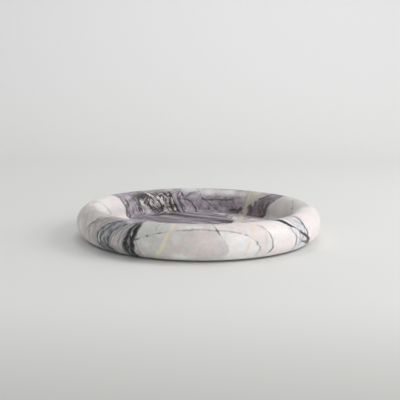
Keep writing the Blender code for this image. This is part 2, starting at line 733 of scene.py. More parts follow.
class VeinGroup(NodeGroup):
    """Writes the group of one vein: it is given where a point lies and the colour so far."""

    def __init__(self, name: str) -> None:
        """Starts the group, with the name that it is given."""
        super().__init__(name, ("Along", "Across", "Unit", "Uneven", "Zone", "Cloud"), ("Colour",))
        (self.along, self.across, self.unit, self.uneven, self.zone, self.cloud,
         self.colour) = self.given.values()

    def fade(self, inward: Socket, edge: float) -> Socket:
        """Makes a mask of how far inside a point lies, which fades over an edge."""
        return self.clamp(self.math("MULTIPLY_ADD", inward, 1 / edge, HALF))

    def between(self, low: Route, high: Route, edge: float) -> Socket:
        """Marks the field between two lines.

        Args:
            low: The line on its low side.
            high: The line on its high side.
            edge: The width over which its sides fade.

        Returns:
            The mask, 0 to 1.
        """
        from_low = self.math("SUBTRACT", self.across, self.curve(self.along, low))
        from_high = self.math("SUBTRACT", self.curve(self.along, high), self.across)
        return self.fade(self.math("MINIMUM", from_low, from_high), edge)

    def lay(self, mask: Socket, cover: float, tone: Tone) -> NodeGroup:
        """Lays a tone over the colour so far, as much as mask and cover say, and closes the group."""
        share = self.math("MULTIPLY", self.math("MULTIPLY", mask, cover), self.zone)
        return self.give(self.mix(share, self.colour, tone.value))


@dataclass(frozen=True)
class Band:
    """A vein or streak: a line of changing width, laid over what comes before it.

    Attributes:
        run: How it runs.
        stops: The way along, where it lies across, and half its width in millimetres.
        tone: Its colour.
        cover: How much it covers, 0 to 1.
        edge: The millimetres over which its sides fade.
        lean: For a run in plan, how far it moves across for each millimetre up.
        ragged: How uneven its width is, 0 to 1.
        zone: The part of the skin it is kept to.
    """

    run: Run
    stops: Stops
    tone: Tone
    cover: float = 1.0
    edge: float = 0.7
    lean: float = 0.0
    ragged: float = 0.4
    zone: Zone = Zone.WHOLE

    def nodes(self) -> NodeGroup:
        """Writes the band's nodes.

        Returns:
            Their group.
        """
        ink = VeinGroup("band")
        stops = sorted(self.stops)
        fade = END_FADES[self.run]
        centre = ink.curve(ink.along, [(stop[0], stop[1]) for stop in stops])
        start, end = (stops[0][0] - fade, -self.edge), (stops[-1][0] + fade, -self.edge)
        half = ink.curve(ink.along, [start, *((stop[0], stop[2]) for stop in stops), end])
        swell = ink.math("MULTIPLY_ADD", ink.uneven, 2 * self.ragged, 1 - self.ragged)
        gap = ink.math("MULTIPLY", ink.math("ABSOLUTE", ink.math("SUBTRACT", ink.across, centre)), ink.unit)
        inside = ink.fade(ink.math("SUBTRACT", ink.math("MULTIPLY", half, swell), gap), self.edge)
        strong = ink.math("MULTIPLY_ADD", ink.uneven, self.ragged, 1 - self.ragged)
        return ink.lay(ink.math("MULTIPLY", inside, strong), self.cover, self.tone)


@dataclass(frozen=True)
class Field:
    """A field of one tone between two lines. What isn't named here is as in a band.

    Attributes:
        low: The way along, and where the low side lies across.
        high: The same for the high side.
        edge: The width over which its sides fade, in the measure that it is placed by.
    """

    run: Run
    low: Route
    high: Route
    tone: Tone
    cover: float = 1.0
    edge: float = 1.0
    zone: Zone = Zone.WHOLE
    lean: float = 0.0

    def nodes(self) -> NodeGroup:
        """Writes the field's nodes."""
        ink = VeinGroup("field")
        return ink.lay(ink.between(self.low, self.high, self.edge), self.cover, self.tone)


@dataclass(frozen=True)
class Stain:
    """A soft spot on the skin. What isn't named here is as in a band.

    Attributes:
        azimuth: The azimuth of its middle. At the back it is over 90, and counted from 0 to 360.
        girth: The girth of its middle.
        reach: Half its size round and up, in millimetres.
        soft: How much of its size fades, 0 to 1.
        lean: How many millimetres it moves round for each millimetre up.
    """

    azimuth: float
    girth: float
    reach: Span
    tone: Tone
    cover: float = 1.0
    soft: float = 0.7
    lean: float = 0.0
    zone: Zone = Zone.WHOLE

    unevenness = 0.35
    widest = 1.18

    @property
    def run(self) -> Run:
        """How its place is counted."""
        return Run.UP_BACK if self.azimuth > QUARTER_TURN_DEG else Run.UP_FRONT

    def nodes(self) -> NodeGroup:
        """Writes the stain's nodes.

        Returns:
            Their group.
        """
        ink = VeinGroup("stain")
        wide, high = self.reach
        place = ink.join(ink.across, ink.along, 0.0)
        off = ink.vector_math("SUBTRACT", place, (self.azimuth, self.girth, 0))
        off = ink.vector_math("MULTIPLY", off, ink.join(ink.unit, 1.0, 0.0))
        sideways = ink.vector_math("DOT_PRODUCT", off, (1 / wide, -self.lean / wide, 0))
        upward = ink.vector_math("DOT_PRODUCT", off, (0, 1 / high, 0))
        spot = ink.join(sideways, upward, 0.0)
        far = ink.math("MULTIPLY_ADD", ink.uneven, self.unevenness, ink.vector_math("LENGTH", spot))
        return ink.lay(ink.slope(far, self.widest, self.widest - self.soft), self.cover, self.tone)


@dataclass(frozen=True)
class Grain:
    """Random streaks that follow a line, in the field between two others.

    What isn't named here is as in a band.

    Attributes:
        low: The way along, and where the low side lies across.
        high: The same for the high side.
        span: Where it starts and ends, along.
        size: The width and the length of a streak, in millimetres.
        level: How high the random cloud must be for a streak to show. At 0.5 half the field is streaks.
        follow: The line that the streaks follow: the way along, and how far it moves across.
        seed: A number that picks another cloud.
        soft: How soft the streaks' sides are.
        edge: The width over which its sides fade, in the measure that it is placed by.
        fade: The same for its ends.
        angular: Whether the streaks are angular splinters, of which the level leaves out a share.
    """

    run: Run
    low: Route
    high: Route
    span: Span
    tone: Tone
    cover: float
    size: Span
    level: float
    follow: Route
    seed: float
    zone: Zone = Zone.WHOLE
    soft: float = 0.05
    edge: float = 1.5
    fade: float = 3.0
    lean: float = 0.0
    angular: bool = False

    unit_cloud = Cloud(1.0)

    def cloud(self, ink: NodeWriter, along: Socket, across: Socket, unit: Value) -> Socket:
        """Gives the random cloud, stretched along the streaks.

        Args:
            ink: Where the nodes are written.
            along: The way along.
            across: The place across.
            unit: The millimetres in one unit across.

        Returns:
            The cloud, between 0 and 1.
        """
        width, length = self.size
        off = ink.math("MULTIPLY", ink.math("SUBTRACT", across, ink.curve(along, self.follow)), unit)
        x, y = ink.math("MULTIPLY", off, 1 / width), ink.math("MULTIPLY", along, 1 / length)
        spot = ink.join(x, y, self.seed)
        return ink.cells(spot, self.unit_cloud.size) if self.angular else ink.noise(spot, self.unit_cloud)

    def nodes(self) -> NodeGroup:
        """Writes the nodes that turn the cloud into streaks and keep them to their field.

        Returns:
            Their group.
        """
        ink = VeinGroup("grain")
        start, end = self.span
        inside = ink.between(self.low, self.high, self.edge)
        streaks = ink.step(ink.cloud, self.level - self.soft, self.level + self.soft)
        shown = ink.math("MULTIPLY", inside, streaks)
        shown = ink.math("MULTIPLY", shown, ink.slope(ink.along, start - self.fade, start + self.fade))
        shown = ink.math("MULTIPLY", shown, ink.slope(ink.along, end + self.fade, end - self.fade))
        return ink.lay(shown, self.cover, self.tone)


@dataclass(frozen=True)
class Skin:
    """Where a point of the stone lies, in every way that veins are placed by."""

    x: Socket
    y: Socket
    z: Socket
    azimuth: Socket
    back_azimuth: Socket
    girth: Socket
    mm_per_degree: Socket
    uneven: Socket
    zones: dict[Zone, Socket]

    def after(self, ink: NodeWriter, late: Socket) -> "Skin":
        """Makes everything that is placed wait for a value that is worked out late.

        Cycles works out a node as soon as its inputs are known, and can keep only some 250 results at once.
        The veins are far more, so none may be worked out before the colour that the first is laid on.

        Args:
            ink: Where the nodes are written.
            late: That value, so small that adding it changes nothing.

        Returns:
            The same places.
        """
        places = (self.x, self.y, self.z, self.azimuth, self.back_azimuth, self.girth,
                  self.mm_per_degree, self.uneven)
        zones = {zone: ink.math("ADD", share, late) for zone, share in self.zones.items()}
        return Skin(*(ink.math("ADD", place, late) for place in places), zones)


@dataclass(frozen=True)
class Side:
    """A side of the rim.

    Attributes:
        up: How what goes up it runs.
        around: How what goes round it runs.
        zone: The part of the skin it is.
    """

    up: Run
    around: Run
    zone: Zone

    def field(self, low: Route, high: Route, tone: Tone, cover: float = 1.0, edge: float = 1.2) -> Field:
        """Makes a field between two lines that run up this side."""
        return Field(self.up, low, high, tone, cover, edge, self.zone)

    def line(self, stops: Stops, tone: Tone, cover: float = 1.0, edge: float = 1.2,
             ragged: float = 0.4) -> Band:
        """Makes a vein that runs up this side."""
        return Band(self.up, stops, tone, cover, edge, ragged=ragged, zone=self.zone)

    def arc(self, stops: Stops, tone: Tone, cover: float = 1.0, edge: float = 1.2,
            ragged: float = 0.4) -> Band:
        """Makes a vein that runs round this side."""
        return Band(self.around, stops, tone, cover, edge, ragged=ragged, zone=self.zone)

    def grain(self, low: Route, high: Route, span: Span, tone: Tone, cover: float, size: Span, level: float,
              follow: Route, seed: float, angular: bool = False) -> Grain:
        """Makes random streaks or angular splinters that run up this side."""
        return Grain(self.up, low, high, span, tone, cover, size, level, follow, seed, self.zone,
                     angular=angular)


FRONT = Side(Run.UP_FRONT, Run.ROUND_FRONT, Zone.FRONT_FACE)
REAR = Side(Run.UP_BACK, Run.ROUND_BACK, Zone.REAR_WALL)

# The lines where one field of the front face meets the next: girth, then azimuth
FAR_LEFT: Route = ((0, -130), (60, -130))
LEFT_END: Route = ((0, -57), (20, -57.5), (28, -57), (36, -55), (43, -52), (50, -48), (53, -44), (60, -40))
SLATE_LEFT: Route = (
    (0, -47), (10, -49), (20, -49), (27, -48.5), (31, -47.2), (39, -43), (46, -39), (56, -34)
)
SLATE_RIGHT: Route = (
    (0, -36), (8, -38.5), (12, -40), (17, -41.2), (21, -41), (28.6, -39.5), (35, -38), (43, -33), (50, -30),
    (56, -28)
)
CHAIN_LEFT: Route = (
    (0, -31.5), (8, -33), (14, -33.3), (22, -33), (28, -31.8), (36, -31), (44, -29.5), (56, -29)
)
CHAIN_RIGHT: Route = ((0, -26.5), (10, -26.8), (20, -27.2), (28, -26.8), (36, -26), (45, -25.6), (56, -25))
AMBER_SIDE: Route = ((0, -20), (4, -19.5), (11, -18), (23, -15), (32, -13.5), (40, -12.3), (56, -11.5))
LENS_RIGHT: Route = (
    (0, 21), (9, 23.5), (12.5, 25), (17.7, 25.8), (22.5, 25.2), (27, 23.5), (32, 21), (36, 17.5),
    (38.5, 13), (40, 8), (43, 5), (60, 4)
)
DIAGONAL: Route = ((0, 10), (14, 11.5), (22, 11.5), (30, 10.2), (33, 9.3), (39, 8), (45, 7), (60, 6.6))
ARC_ONE: Route = (
    (0, 28.5), (6.8, 30), (14.5, 31.7), (18, 32.6), (25, 32.2), (32, 31), (39, 29.5), (43, 27.8), (50, 25),
    (60, 22)
)
ARC_TWO: Route = (
    (0, 44), (10, 45.8), (19, 46.1), (25.7, 45.8), (30.6, 44.6), (37, 42.3), (45, 39.5), (60, 36)
)
LATTICE_RIGHT: Route = ((0, 61), (10, 60), (18, 58), (24, 56), (34, 54.3), (45, 54), (60, 53))
FAR_RIGHT: Route = ((0, 130), (60, 130))
FRONT_VEINS: tuple[Band | Field | Stain, ...] = (
    FRONT.field(FAR_LEFT, FAR_RIGHT, Tone.ROSE_WHITE),
    FRONT.field(FAR_LEFT, LEFT_END, Tone.SHELL, edge=2.0),
    FRONT.field(LEFT_END, SLATE_LEFT, Tone.TAUPE, edge=1.5),
    FRONT.field(SLATE_LEFT, SLATE_RIGHT, Tone.STEEL),
    FRONT.field(SLATE_RIGHT, CHAIN_LEFT, Tone.TAUPE),
    FRONT.field(CHAIN_LEFT, CHAIN_RIGHT, Tone.SLATE),
    FRONT.field(CHAIN_RIGHT, DIAGONAL, Tone.SHELL, edge=2.0),
    FRONT.field(CHAIN_RIGHT, AMBER_SIDE, Tone.CELADON, cover=0.7, edge=9.0),
    FRONT.field(DIAGONAL, LENS_RIGHT, Tone.COOL_WHITE, cover=0.75, edge=4.0),
    FRONT.field(LENS_RIGHT, ARC_ONE, Tone.BLUSH, cover=0.6, edge=2.0),
    FRONT.field(ARC_TWO, LATTICE_RIGHT, Tone.ICE, cover=0.65, edge=4.0),
    # The low part of the rim, which is paler: partly the stone's own tone and partly painted light for the
    # floor's bounce
    Stain(16, -1, (95, 15), Tone.COOL_WHITE, 0.95, soft=0.8),
    Stain(3, 26, (24, 17), Tone.BLUSH, 0.85, soft=0.95),
    Stain(11, 36, (11, 9), Tone.BLUSH, 0.6, soft=0.9),
    Stain(42, 56, (48, 9), Tone.MIST, 0.75, soft=0.9),
    Stain(50, 40, (11, 16), Tone.MAUVE, 0.5, soft=0.9),
    Stain(-24, 20, (6, 11), Tone.MIST, 0.65, soft=0.9),
    Stain(-38, 44, (16, 10), Tone.STEEL, 0.5, soft=0.9),
    # Left end
    Stain(-65, 51, (22, 8), Tone.MIST, 0.7),
    Stain(-66, 40, (12, 5), Tone.MIST, 0.45),
    Stain(-68, 26, (14, 11), Tone.COOL_WHITE, 0.7),
    Stain(-54, 10, (14, 7), Tone.PEARL, 0.6),
    Stain(-58, 33, (7, 6), Tone.PEARL, 0.6),
    FRONT.line((
        (18, -61, 0.5), (25, -58.8, 0.9), (31, -56.6, 1.3), (40, -53.2, 1.5), (46, -51.4, 1.2),
        (50, -46, 0.7)
    ), Tone.LEAD, 0.9, 1.6),
    FRONT.line((
        (26, -65, 0.6), (36, -68, 1.1), (42, -73, 1.2), (48, -79, 1.2), (56, -84, 1)
    ), Tone.LEAD, 0.55, 2.2),
    FRONT.line((
        (28, -60.6, 0.5), (37, -62, 0.9), (44, -67, 1), (51, -75, 0.9), (56, -78, 0.8)
    ), Tone.LEAD, 0.5, 2.2),
    FRONT.line(((20, -67, 0.5), (30, -71, 1), (38, -77, 1), (44, -84, 0.8)), Tone.ASH, 0.6, 2.4),
    FRONT.line(((40, -58, 0.7), (46, -61, 1.1), (52, -68, 1), (57, -73, 0.8)), Tone.ASH, 0.6, 2.4),
    FRONT.line(((38, -50.5, 1.5), (45, -47.5, 3), (50, -44.5, 2.2), (54, -41, 1)), Tone.LEAD, 0.55, 3),
    FRONT.line(((30, -49, 1.2), (38, -49.5, 2), (44, -47, 1.4)), Tone.ROSE, 0.45, 3),
    FRONT.line(((12, -54.4, 1.4), (24, -54, 2.2), (34, -53.4, 1.2)), Tone.PEARL, 0.7, 3),
    Stain(-37, 51, (12, 5), Tone.PEARL, 0.4),
    Stain(-47, 54, (16, 5), Tone.MIST, 0.8),
    # Slate veins
    Stain(-38.5, 39, (4.5, 7), Tone.MAUVE, 0.7, lean=0.6),
    Stain(-42.5, 27, (4.5, 6), Tone.MIST, 0.55, lean=0.4),
    Stain(-46, 12, (11, 7), Tone.SLATE, 0.55),
    Stain(-50, 6, (8, 5), Tone.SHELL, 0.6),
    FRONT.line((
        (2, -44.4, 0.7), (7, -47.1, 1.2), (12, -48.8, 1.3), (18, -48.9, 1.2), (24, -48.3, 1.1),
        (30, -47, 1.3), (36, -45, 1.5), (40, -42.8, 1.6), (45, -39.2, 1.3), (50, -36, 0.8)
    ), Tone.COAL, 0.95, 1.1),
    FRONT.line((
        (16, -47.8, 0.9), (20, -47.6, 1), (26, -46.8, 0.9), (31, -45.8, 0.5)
    ), Tone.PEARL, 0.95, 0.9),
    FRONT.line((
        (16, -46.2, 0.6), (21, -46.2, 0.8), (26, -45.4, 0.8), (31, -44.5, 0.5)
    ), Tone.COAL, 0.95, 1),
    FRONT.line(((40, -39.6, 1), (44, -38.6, 1.4), (47, -37, 0.6)), Tone.COAL, 0.8, 1.5),
    FRONT.line((
        (2, -40, 0.8), (8, -41, 1.3), (14, -41.8, 1.7), (21, -41, 1.6), (28.8, -39.8, 1.5),
        (35.5, -37.5, 1.5), (41.5, -34, 1.4), (45, -32.2, 1), (50, -30.4, 0.5)
    ), Tone.COAL, 0.95, 1.1),
    FRONT.line((
        (10, -41.5, 1.4), (16, -43.2, 1.4), (20.5, -43.8, 1.6), (23, -43.6, 0.8)
    ), Tone.BARK, 0.85, 1.6),
    FRONT.line(((2, -44, 0.5), (8, -43.2, 0.9), (14, -45, 0.7), (20, -45, 0.4)), Tone.COAL, 0.7),
    FRONT.line(((2, -40.5, 0.8), (8, -40, 1), (12, -39.4, 1)), Tone.COAL, 0.8),
    # Between slate and chain
    FRONT.line(((6, -36, 1), (14, -37, 1.6), (24, -36.4, 1.8), (34, -35, 1)), Tone.ROSE, 0.55, 2.5),
    FRONT.line(((8, -34.4, 0.5), (18, -34.6, 0.7), (28, -33.4, 0.5)), Tone.PEARL, 0.55, 1.4),
    FRONT.line(((10, -38.6, 0.5), (18, -39, 0.8), (27, -37.6, 0.6)), Tone.PEARL, 0.5, 1.4),
    FRONT.line(((4, -36.5, 0.8), (10, -37.6, 0.7), (16, -37.4, 0.4)), Tone.LEAD, 0.7, 1.4),
    Stain(-36, 4, (10, 4), Tone.MIST, 0.6),
    Stain(-32.5, 48, (5, 5), Tone.PEARL, 0.6),
    # Chain
    Stain(-27.6, 48.5, (4, 4.5), Tone.SLATE, 0.5),
    FRONT.line((
        (6, -30.4, 1.6), (13, -31.6, 2.4), (18, -31.6, 2.1), (25, -31.6, 2.2), (29, -30.6, 1.4),
        (34, -30.2, 1.5), (39, -29.2, 1.5), (43, -28.8, 1.4), (47, -29, 0.7)
    ), Tone.INK, 1, 1.3, 0.5),
    FRONT.line((
        (0, -27.8, 1.8), (5, -28, 2.2), (10, -28.6, 2.6), (15, -28.4, 2.1), (20, -28.1, 2), (28, -28, 1.9),
        (33, -27.4, 2), (38, -27.2, 2.3), (43, -26.8, 1.7), (48, -26.6, 0.7)
    ), Tone.INK, 1, 1.3, 0.5),
    FRONT.line(((2, -31.2, 0.9), (8, -30.6, 1.3), (13, -30, 1)), Tone.COAL, 0.9, 1.5),
    FRONT.line(((30, -28.9, 0.4), (32, -28.8, 0.7), (34.5, -28.6, 0.4)), Tone.PEARL, 0.9, 0.8),
    FRONT.line(((34, -29, 0.3), (38, -28.6, 0.6), (42, -27.8, 0.3)), Tone.MIST, 0.7, 1),
    FRONT.line(((20, -30, 0.6), (24, -29.9, 1), (28, -29.6, 0.7)), Tone.STEEL, 0.8, 1.5),
    FRONT.line(((5, -30.6, 0.5), (12, -30.4, 0.6), (16, -29.9, 0.4)), Tone.STEEL, 0.7),
    FRONT.line(((5, -24.2, 0.4), (12, -25.2, 0.6), (19, -26, 0.6), (25, -26.5, 0.8)), Tone.LEAD, 0.75),
    FRONT.line(((0, -25.4, 0.5), (8, -26, 0.7), (15, -26.4, 0.6)), Tone.LEAD, 0.6, 1.6),
    Stain(-23.4, 13, (4, 5), Tone.ROSE, 0.4),
    Stain(-22.5, 4, (9, 6), Tone.MIST, 0.55),
    # Pale green part
    Stain(-19, 49, (7, 6), Tone.MAUVE, 0.4),
    Stain(-16, 34, (7, 4), Tone.PEARL, 0.45),
    Stain(-22, 24, (10, 8), Tone.COOL_WHITE, 0.3),
    FRONT.arc(((-27.4, 26, 1.5), (-26, 27.2, 1), (-24.4, 28.8, 0.2)), Tone.COAL, 0.85, 1.2, 0.3),
    FRONT.arc((
        (-25, 28, 0.3), (-22.8, 30.5, 0.4), (-19, 33.8, 0.4), (-14.5, 37.4, 0.4), (-11, 39.3, 0.5)
    ), Tone.LEAD, 0.6, 1.3, 0.7),
    Stain(-21.3, 31.8, (2.4, 1.7), Tone.SLATE, 0.95),
    Stain(-16.3, 36, (3.4, 1.5), Tone.SLATE, 0.9, lean=1.5),
    FRONT.line(((40, -18, 0.9), (44, -18.2, 0.9), (48, -17.6, 0.6)), Tone.LEAD, 0.5, 1.6),
    FRONT.line(((50, -15, 1), (54, -14.6, 1.4), (60, -14.4, 1.4)), Tone.LEAD, 0.55, 2),
    # Amber streaks
    FRONT.line((
        (2, -19.2, 2), (10.7, -17.2, 2.2), (22.7, -14.2, 2.4), (32.5, -13, 2.3), (40, -11.8, 2.3),
        (49, -11.2, 2.3), (56, -11.2, 2.2)
    ), Tone.STRAW, 0.75, 2.6, 0.3),
    FRONT.line((
        (6, -17.6, 0.7), (12, -16.4, 0.9), (22, -13.6, 1), (34, -12.2, 0.8), (48, -10.6, 0.8)
    ), Tone.AMBER, 0.5, 1.6),
    # Lens and the strip above it
    Stain(-9, 30, (7, 9), Tone.PEARL, 0.6),
    Stain(-7, 9, (20, 8), Tone.COOL_WHITE, 0.8),
    Stain(-3, 46, (18, 4.5), Tone.COOL_WHITE, 0.5),
    Stain(-4, 36, (9, 4), Tone.MIST, 0.25),
    Stain(-1, 17, (12, 3.5), Tone.ROSE, 0.5, lean=1.2),
    Stain(2, 24, (9, 3), Tone.ROSE, 0.35, lean=1.5),
    Stain(3, 34, (6, 5), Tone.ROSE, 0.3),
    Stain(8, 18, (5, 5), Tone.PEARL, 0.6),
    FRONT.arc((
        (-9, 40.2, 0.7), (-7, 40.6, 0.9), (-3, 41.6, 1.3), (0, 42.2, 1.3), (4, 41.6, 1), (7, 40.8, 0.8),
        (9, 40.3, 0.6), (14, 38.6, 0.55), (18, 35.6, 0.7), (20, 33.3, 0.6)
    ), Tone.LEAD, 0.75, 1.5, 0.6),
    FRONT.line((
        (10, 24.2, 0.3), (13.5, 25.2, 0.6), (17.7, 25.9, 0.8), (22.5, 25.1, 0.8), (27, 23.6, 0.7),
        (31, 21.5, 0.5), (33.5, 19.9, 0.5)
    ), Tone.LEAD, 0.7, 1.1),
    Stain(24.4, 24, (1.8, 3.2), Tone.SLATE, 0.6),
    FRONT.line((
        (41, 7.3, 0.5), (44, 7, 0.7), (48, 6.8, 0.9), (54, 6.6, 1.2), (60, 6.4, 1.2)
    ), Tone.ASH, 0.75, 1.6),
    FRONT.line((
        (35, 8.7, 0.3), (38, 8.2, 0.9), (40, 7.9, 1.2), (42.4, 7.3, 0.8), (45, 7.1, 0.4)
    ), Tone.COAL, 0.85),
    FRONT.line(((27, 10.4, 0.4), (31, 9.9, 0.7), (36, 8.6, 0.8)), Tone.ASH, 0.55, 1.6),
    FRONT.line(((12, 10.8, 1), (18, 11.4, 1.3), (24, 11.4, 1.2), (29, 10.6, 0.8)), Tone.ROSE, 0.6, 2.2),
    FRONT.line(((26, 10.4, 0.3), (22, 11.4, 0.5), (16, 11.7, 0.5), (12, 11, 0.3)), Tone.ASH, 0.5, 1.4, 0.6),
    Stain(13.5, 45.5, (10, 4.5), Tone.ROSE, 0.5),
    FRONT.line(((42, 17.4, 0.3), (46, 17, 0.6), (50, 16.6, 0.3)), Tone.ROSE, 0.5, 1.8),
    Stain(10, 54, (15, 5.5), Tone.MIST, 0.85),
    Stain(18, 27, (8, 10), Tone.ICE, 0.35),
    # Right arcs
    FRONT.line((
        (9, 19.4, 1.6), (16.8, 19.8, 1.6), (26.6, 21.2, 1.6), (36, 22.8, 1.5), (48, 25.6, 1.5)
    ), Tone.STRAW, 0.6, 2.4, 0.5),
    Stain(23.5, 40, (3, 4), Tone.STRAW, 0.5),
    FRONT.line((
        (5, 29.6, 0.4), (9, 30.6, 0.7), (14.5, 31.7, 1.1), (18, 32.4, 1.2), (25, 32, 0.9), (32, 31, 0.7),
        (37, 29.9, 0.5), (42, 28.5, 0.6), (46, 26.6, 0.4)
    ), Tone.LEAD, 0.8),
    FRONT.line(((12, 31.6, 0.4), (16, 32.3, 0.6), (20, 32.4, 0.5), (25, 31.9, 0.3)), Tone.COAL, 0.7, 0.9),
    Stain(28.4, 42, (2.2, 3.4), Tone.MIST, 0.7, lean=-0.4),
    Stain(28.8, 28, (3.4, 11), Tone.MAUVE, 0.3, soft=0.9),
    Stain(30.3, 20, (2.6, 8), Tone.ICE, 0.6),
    FRONT.line((
        (6, 44.6, 0.4), (12, 45.9, 0.7), (19, 46.1, 0.8), (25.7, 45.8, 0.7), (30.6, 44.8, 0.8),
        (37, 43.6, 0.7)
    ), Tone.LEAD, 0.85),
    FRONT.line(((30, 44, 0.4), (36, 42.4, 0.7), (42, 41, 0.6)), Tone.ASH, 0.5, 1.6),
    # Lattice and the dark cross-vein
    FRONT.line((
        (12, 49, 0.6), (16, 49.6, 1), (20, 50.4, 1.3), (25, 51.2, 1.2), (31, 50.2, 0.7)
    ), Tone.LEAD, 0.85, 1.3),
    FRONT.line((
        (12, 47.4, 0.5), (17, 48.2, 0.9), (24, 49, 0.9), (30, 48.2, 0.7), (37, 48, 0.5)
    ), Tone.LEAD, 0.6, 1.4),
    FRONT.arc((
        (46.4, 52.6, 0.6), (48.4, 45, 0.9), (50.6, 39.6, 0.9), (52.6, 35, 0.6)
    ), Tone.LEAD, 0.6, 1.4),
    FRONT.line(((8, 45.4, 0.5), (14, 46.4, 0.9), (22, 46.2, 0.8), (28, 45, 0.4)), Tone.ASH, 0.7, 2),
    FRONT.line((
        (8, 46.6, 0.9), (18, 46.4, 1), (30, 46.2, 0.8), (40, 46.4, 0.9), (50, 45.6, 1.2), (58, 45, 1.2)
    ), Tone.ASH, 0.7, 2),
    FRONT.line(((26, 49, 0.3), (32, 49.6, 0.6), (38, 49.4, 0.4)), Tone.ASH, 0.6, 1.6),
    FRONT.arc(((47, 24.5, 0.4), (50, 19.5, 0.8), (53, 16.5, 1.3), (56, 14.5, 1.6)), Tone.LEAD, 0.8, 1.6),
    FRONT.line((
        (24, 55.4, 0.7), (28, 54.6, 0.9), (33, 53.2, 1.4), (40, 53.2, 1.7), (46, 53.4, 1.5),
        (50, 53.2, 2.2), (58, 53, 2.2)
    ), Tone.LEAD, 0.9, 1.6),
    FRONT.line((
        (21, 55.4, 0.6), (28, 54.2, 0.9), (33, 53.3, 1), (38, 53, 1), (46, 53.8, 1), (51, 52.6, 0.6)
    ), Tone.COAL, 0.9, 1),
    FRONT.line(((22, 53, 0.4), (28, 52.4, 0.8), (34, 52.8, 0.8)), Tone.LEAD, 0.8, 1.3),
    FRONT.line(((30, 54.8, 0.4), (26, 54.6, 0.8), (20, 54.4, 0.9)), Tone.COAL, 0.8),
    Stain(51, 20, (11, 9), Tone.MAUVE, 0.55, soft=0.9),
    Stain(56, 14.5, (6, 6), Tone.LEAD, 0.75, soft=0.9),
    Stain(43, 33, (4, 6), Tone.ROSE, 0.45, soft=0.9, lean=-0.8),
    Stain(51, 54, (15, 5), Tone.MIST, 0.75),
    Stain(53.6, 44, (5, 7), Tone.ASH, 0.3, soft=0.9),
    Stain(54, 45, (6, 9), Tone.MAUVE, 0.5, soft=0.9),
    FRONT.arc((
        (37.6, 53.6, 0.9), (39.8, 50.2, 3), (41.8, 46.4, 5.4), (43.8, 40, 2.6), (45.8, 36, 0.9),
        (48, 31.8, 0.6), (50, 28.2, 1), (52, 25.2, 1.3), (54, 22, 2), (56, 18.4, 3), (58, 15.4, 2.2)
    ), Tone.BARK, 1, 1.2, 0.2),
    FRONT.arc((
        (39, 51.2, 1.4), (41.8, 46.2, 4.8), (43.6, 40.6, 2.1), (45, 37.2, 0.5)
    ), Tone.INK, 1, 1.1, 0.1),
    FRONT.arc(((49, 29, 0.6), (50.4, 27, 1.2), (52, 25, 0.8), (55, 20.4, 1)), Tone.INK, 1, 1, 0.2),
    FRONT.arc(((50, 18, 0.5), (53, 16, 1.2), (56, 13.4, 2), (59, 10.6, 2.4)), Tone.COAL, 0.85, 1.6, 0.2),
    FRONT.line((
        (9, 59.8, 0.8), (12, 58.4, 2.2), (15, 56.8, 3.4), (18, 56.2, 3), (22, 54.9, 1.4)
    ), Tone.COAL, 0.9, 2.4),
    Stain(38.6, 53.5, (5, 4.5), Tone.SLATE, 0.8),
    Stain(70, 34, (22, 14), Tone.WARM_WHITE, 0.6),
    Stain(88, 55, (16, 8), Tone.SHELL, 0.5),
)

# How the streaks of the left part lean: girth, then how far they move to the right
LEFT_LEAN: Route = (
    (0, -1), (8, -3), (14, -4.2), (21, -4.4), (28, -3), (35, -0.8), (43, 3), (50, 7), (58, 11)
)
FRONT_GRAINS: tuple[Grain, ...] = (
    FRONT.grain(LEFT_END, SLATE_LEFT, (4, 48), Tone.SHELL, 0.7, (1.6, 14), 0.54, LEFT_LEAN, 1.5),
    FRONT.grain(LEFT_END, SLATE_LEFT, (4, 48), Tone.LEAD, 0.55, (1.2, 12), 0.58, LEFT_LEAN, 2.5),
    FRONT.grain(SLATE_LEFT, SLATE_RIGHT, (4, 50), Tone.MIST, 0.7, (1.3, 10), 0.55, LEFT_LEAN, 3.5),
    FRONT.grain(SLATE_LEFT, SLATE_RIGHT, (4, 50), Tone.COAL, 0.9, (1.3, 9), 0.55, LEFT_LEAN, 4.5),
    FRONT.grain(SLATE_RIGHT, CHAIN_LEFT, (4, 48), Tone.STEEL, 0.7, (1.5, 16), 0.50, LEFT_LEAN, 6.5),
    FRONT.grain(SLATE_RIGHT, CHAIN_LEFT, (4, 48), Tone.BLUSH, 0.6, (1.1, 14), 0.56, LEFT_LEAN, 5.5),
    FRONT.grain(SLATE_RIGHT, CHAIN_LEFT, (4, 48), Tone.LEAD, 0.6, (0.8, 12), 0.60, LEFT_LEAN, 8.5),
    FRONT.grain(CHAIN_LEFT, CHAIN_RIGHT, (0, 46), Tone.STEEL, 0.8, (1.3, 6), 0.56, LEFT_LEAN, 9.5),
    FRONT.grain(CHAIN_LEFT, CHAIN_RIGHT, (0, 48), Tone.INK, 0.95, (1.6, 9), 0.44, LEFT_LEAN, 7.5),
)

# The lines where one field of the rear wall meets the next: girth, then azimuth
REAR_RIGHT_END: Route = ((50, 80), (100, 80))
BLUE_SLIVER: Route = ((50, 117), (61, 120), (69, 122), (77, 124), (90, 122.5), (100, 120))
PLUM_RIGHT: Route = ((50, 119), (61, 121), (69, 124), (77, 126), (84, 127.2), (94, 128), (100, 128))
PLUM_LEFT: Route = (
    (50, 131), (58, 131.5), (62, 132.5), (66, 134), (70, 136.6), (73, 138.5), (77, 140), (81, 142.4),
    (88, 143.6), (100, 143.5)
)
AMBER_REAR: Route = (
    (50, 150), (58, 148.5), (63, 147.5), (70, 147), (82, 147.5), (88, 148), (95, 147), (100, 147)
)
GREY_LEFT: Route = ((50, 178), (64, 179), (78, 184), (90, 182.5), (100, 182))
LINE_167: Route = ((50, 190), (62, 192), (72, 194), (84, 193.6), (90, 192.6), (100, 191))
SHARDS_LEFT: Route = ((50, 196), (60, 199), (72, 198.5), (84, 196.6), (93, 195), (100, 194))
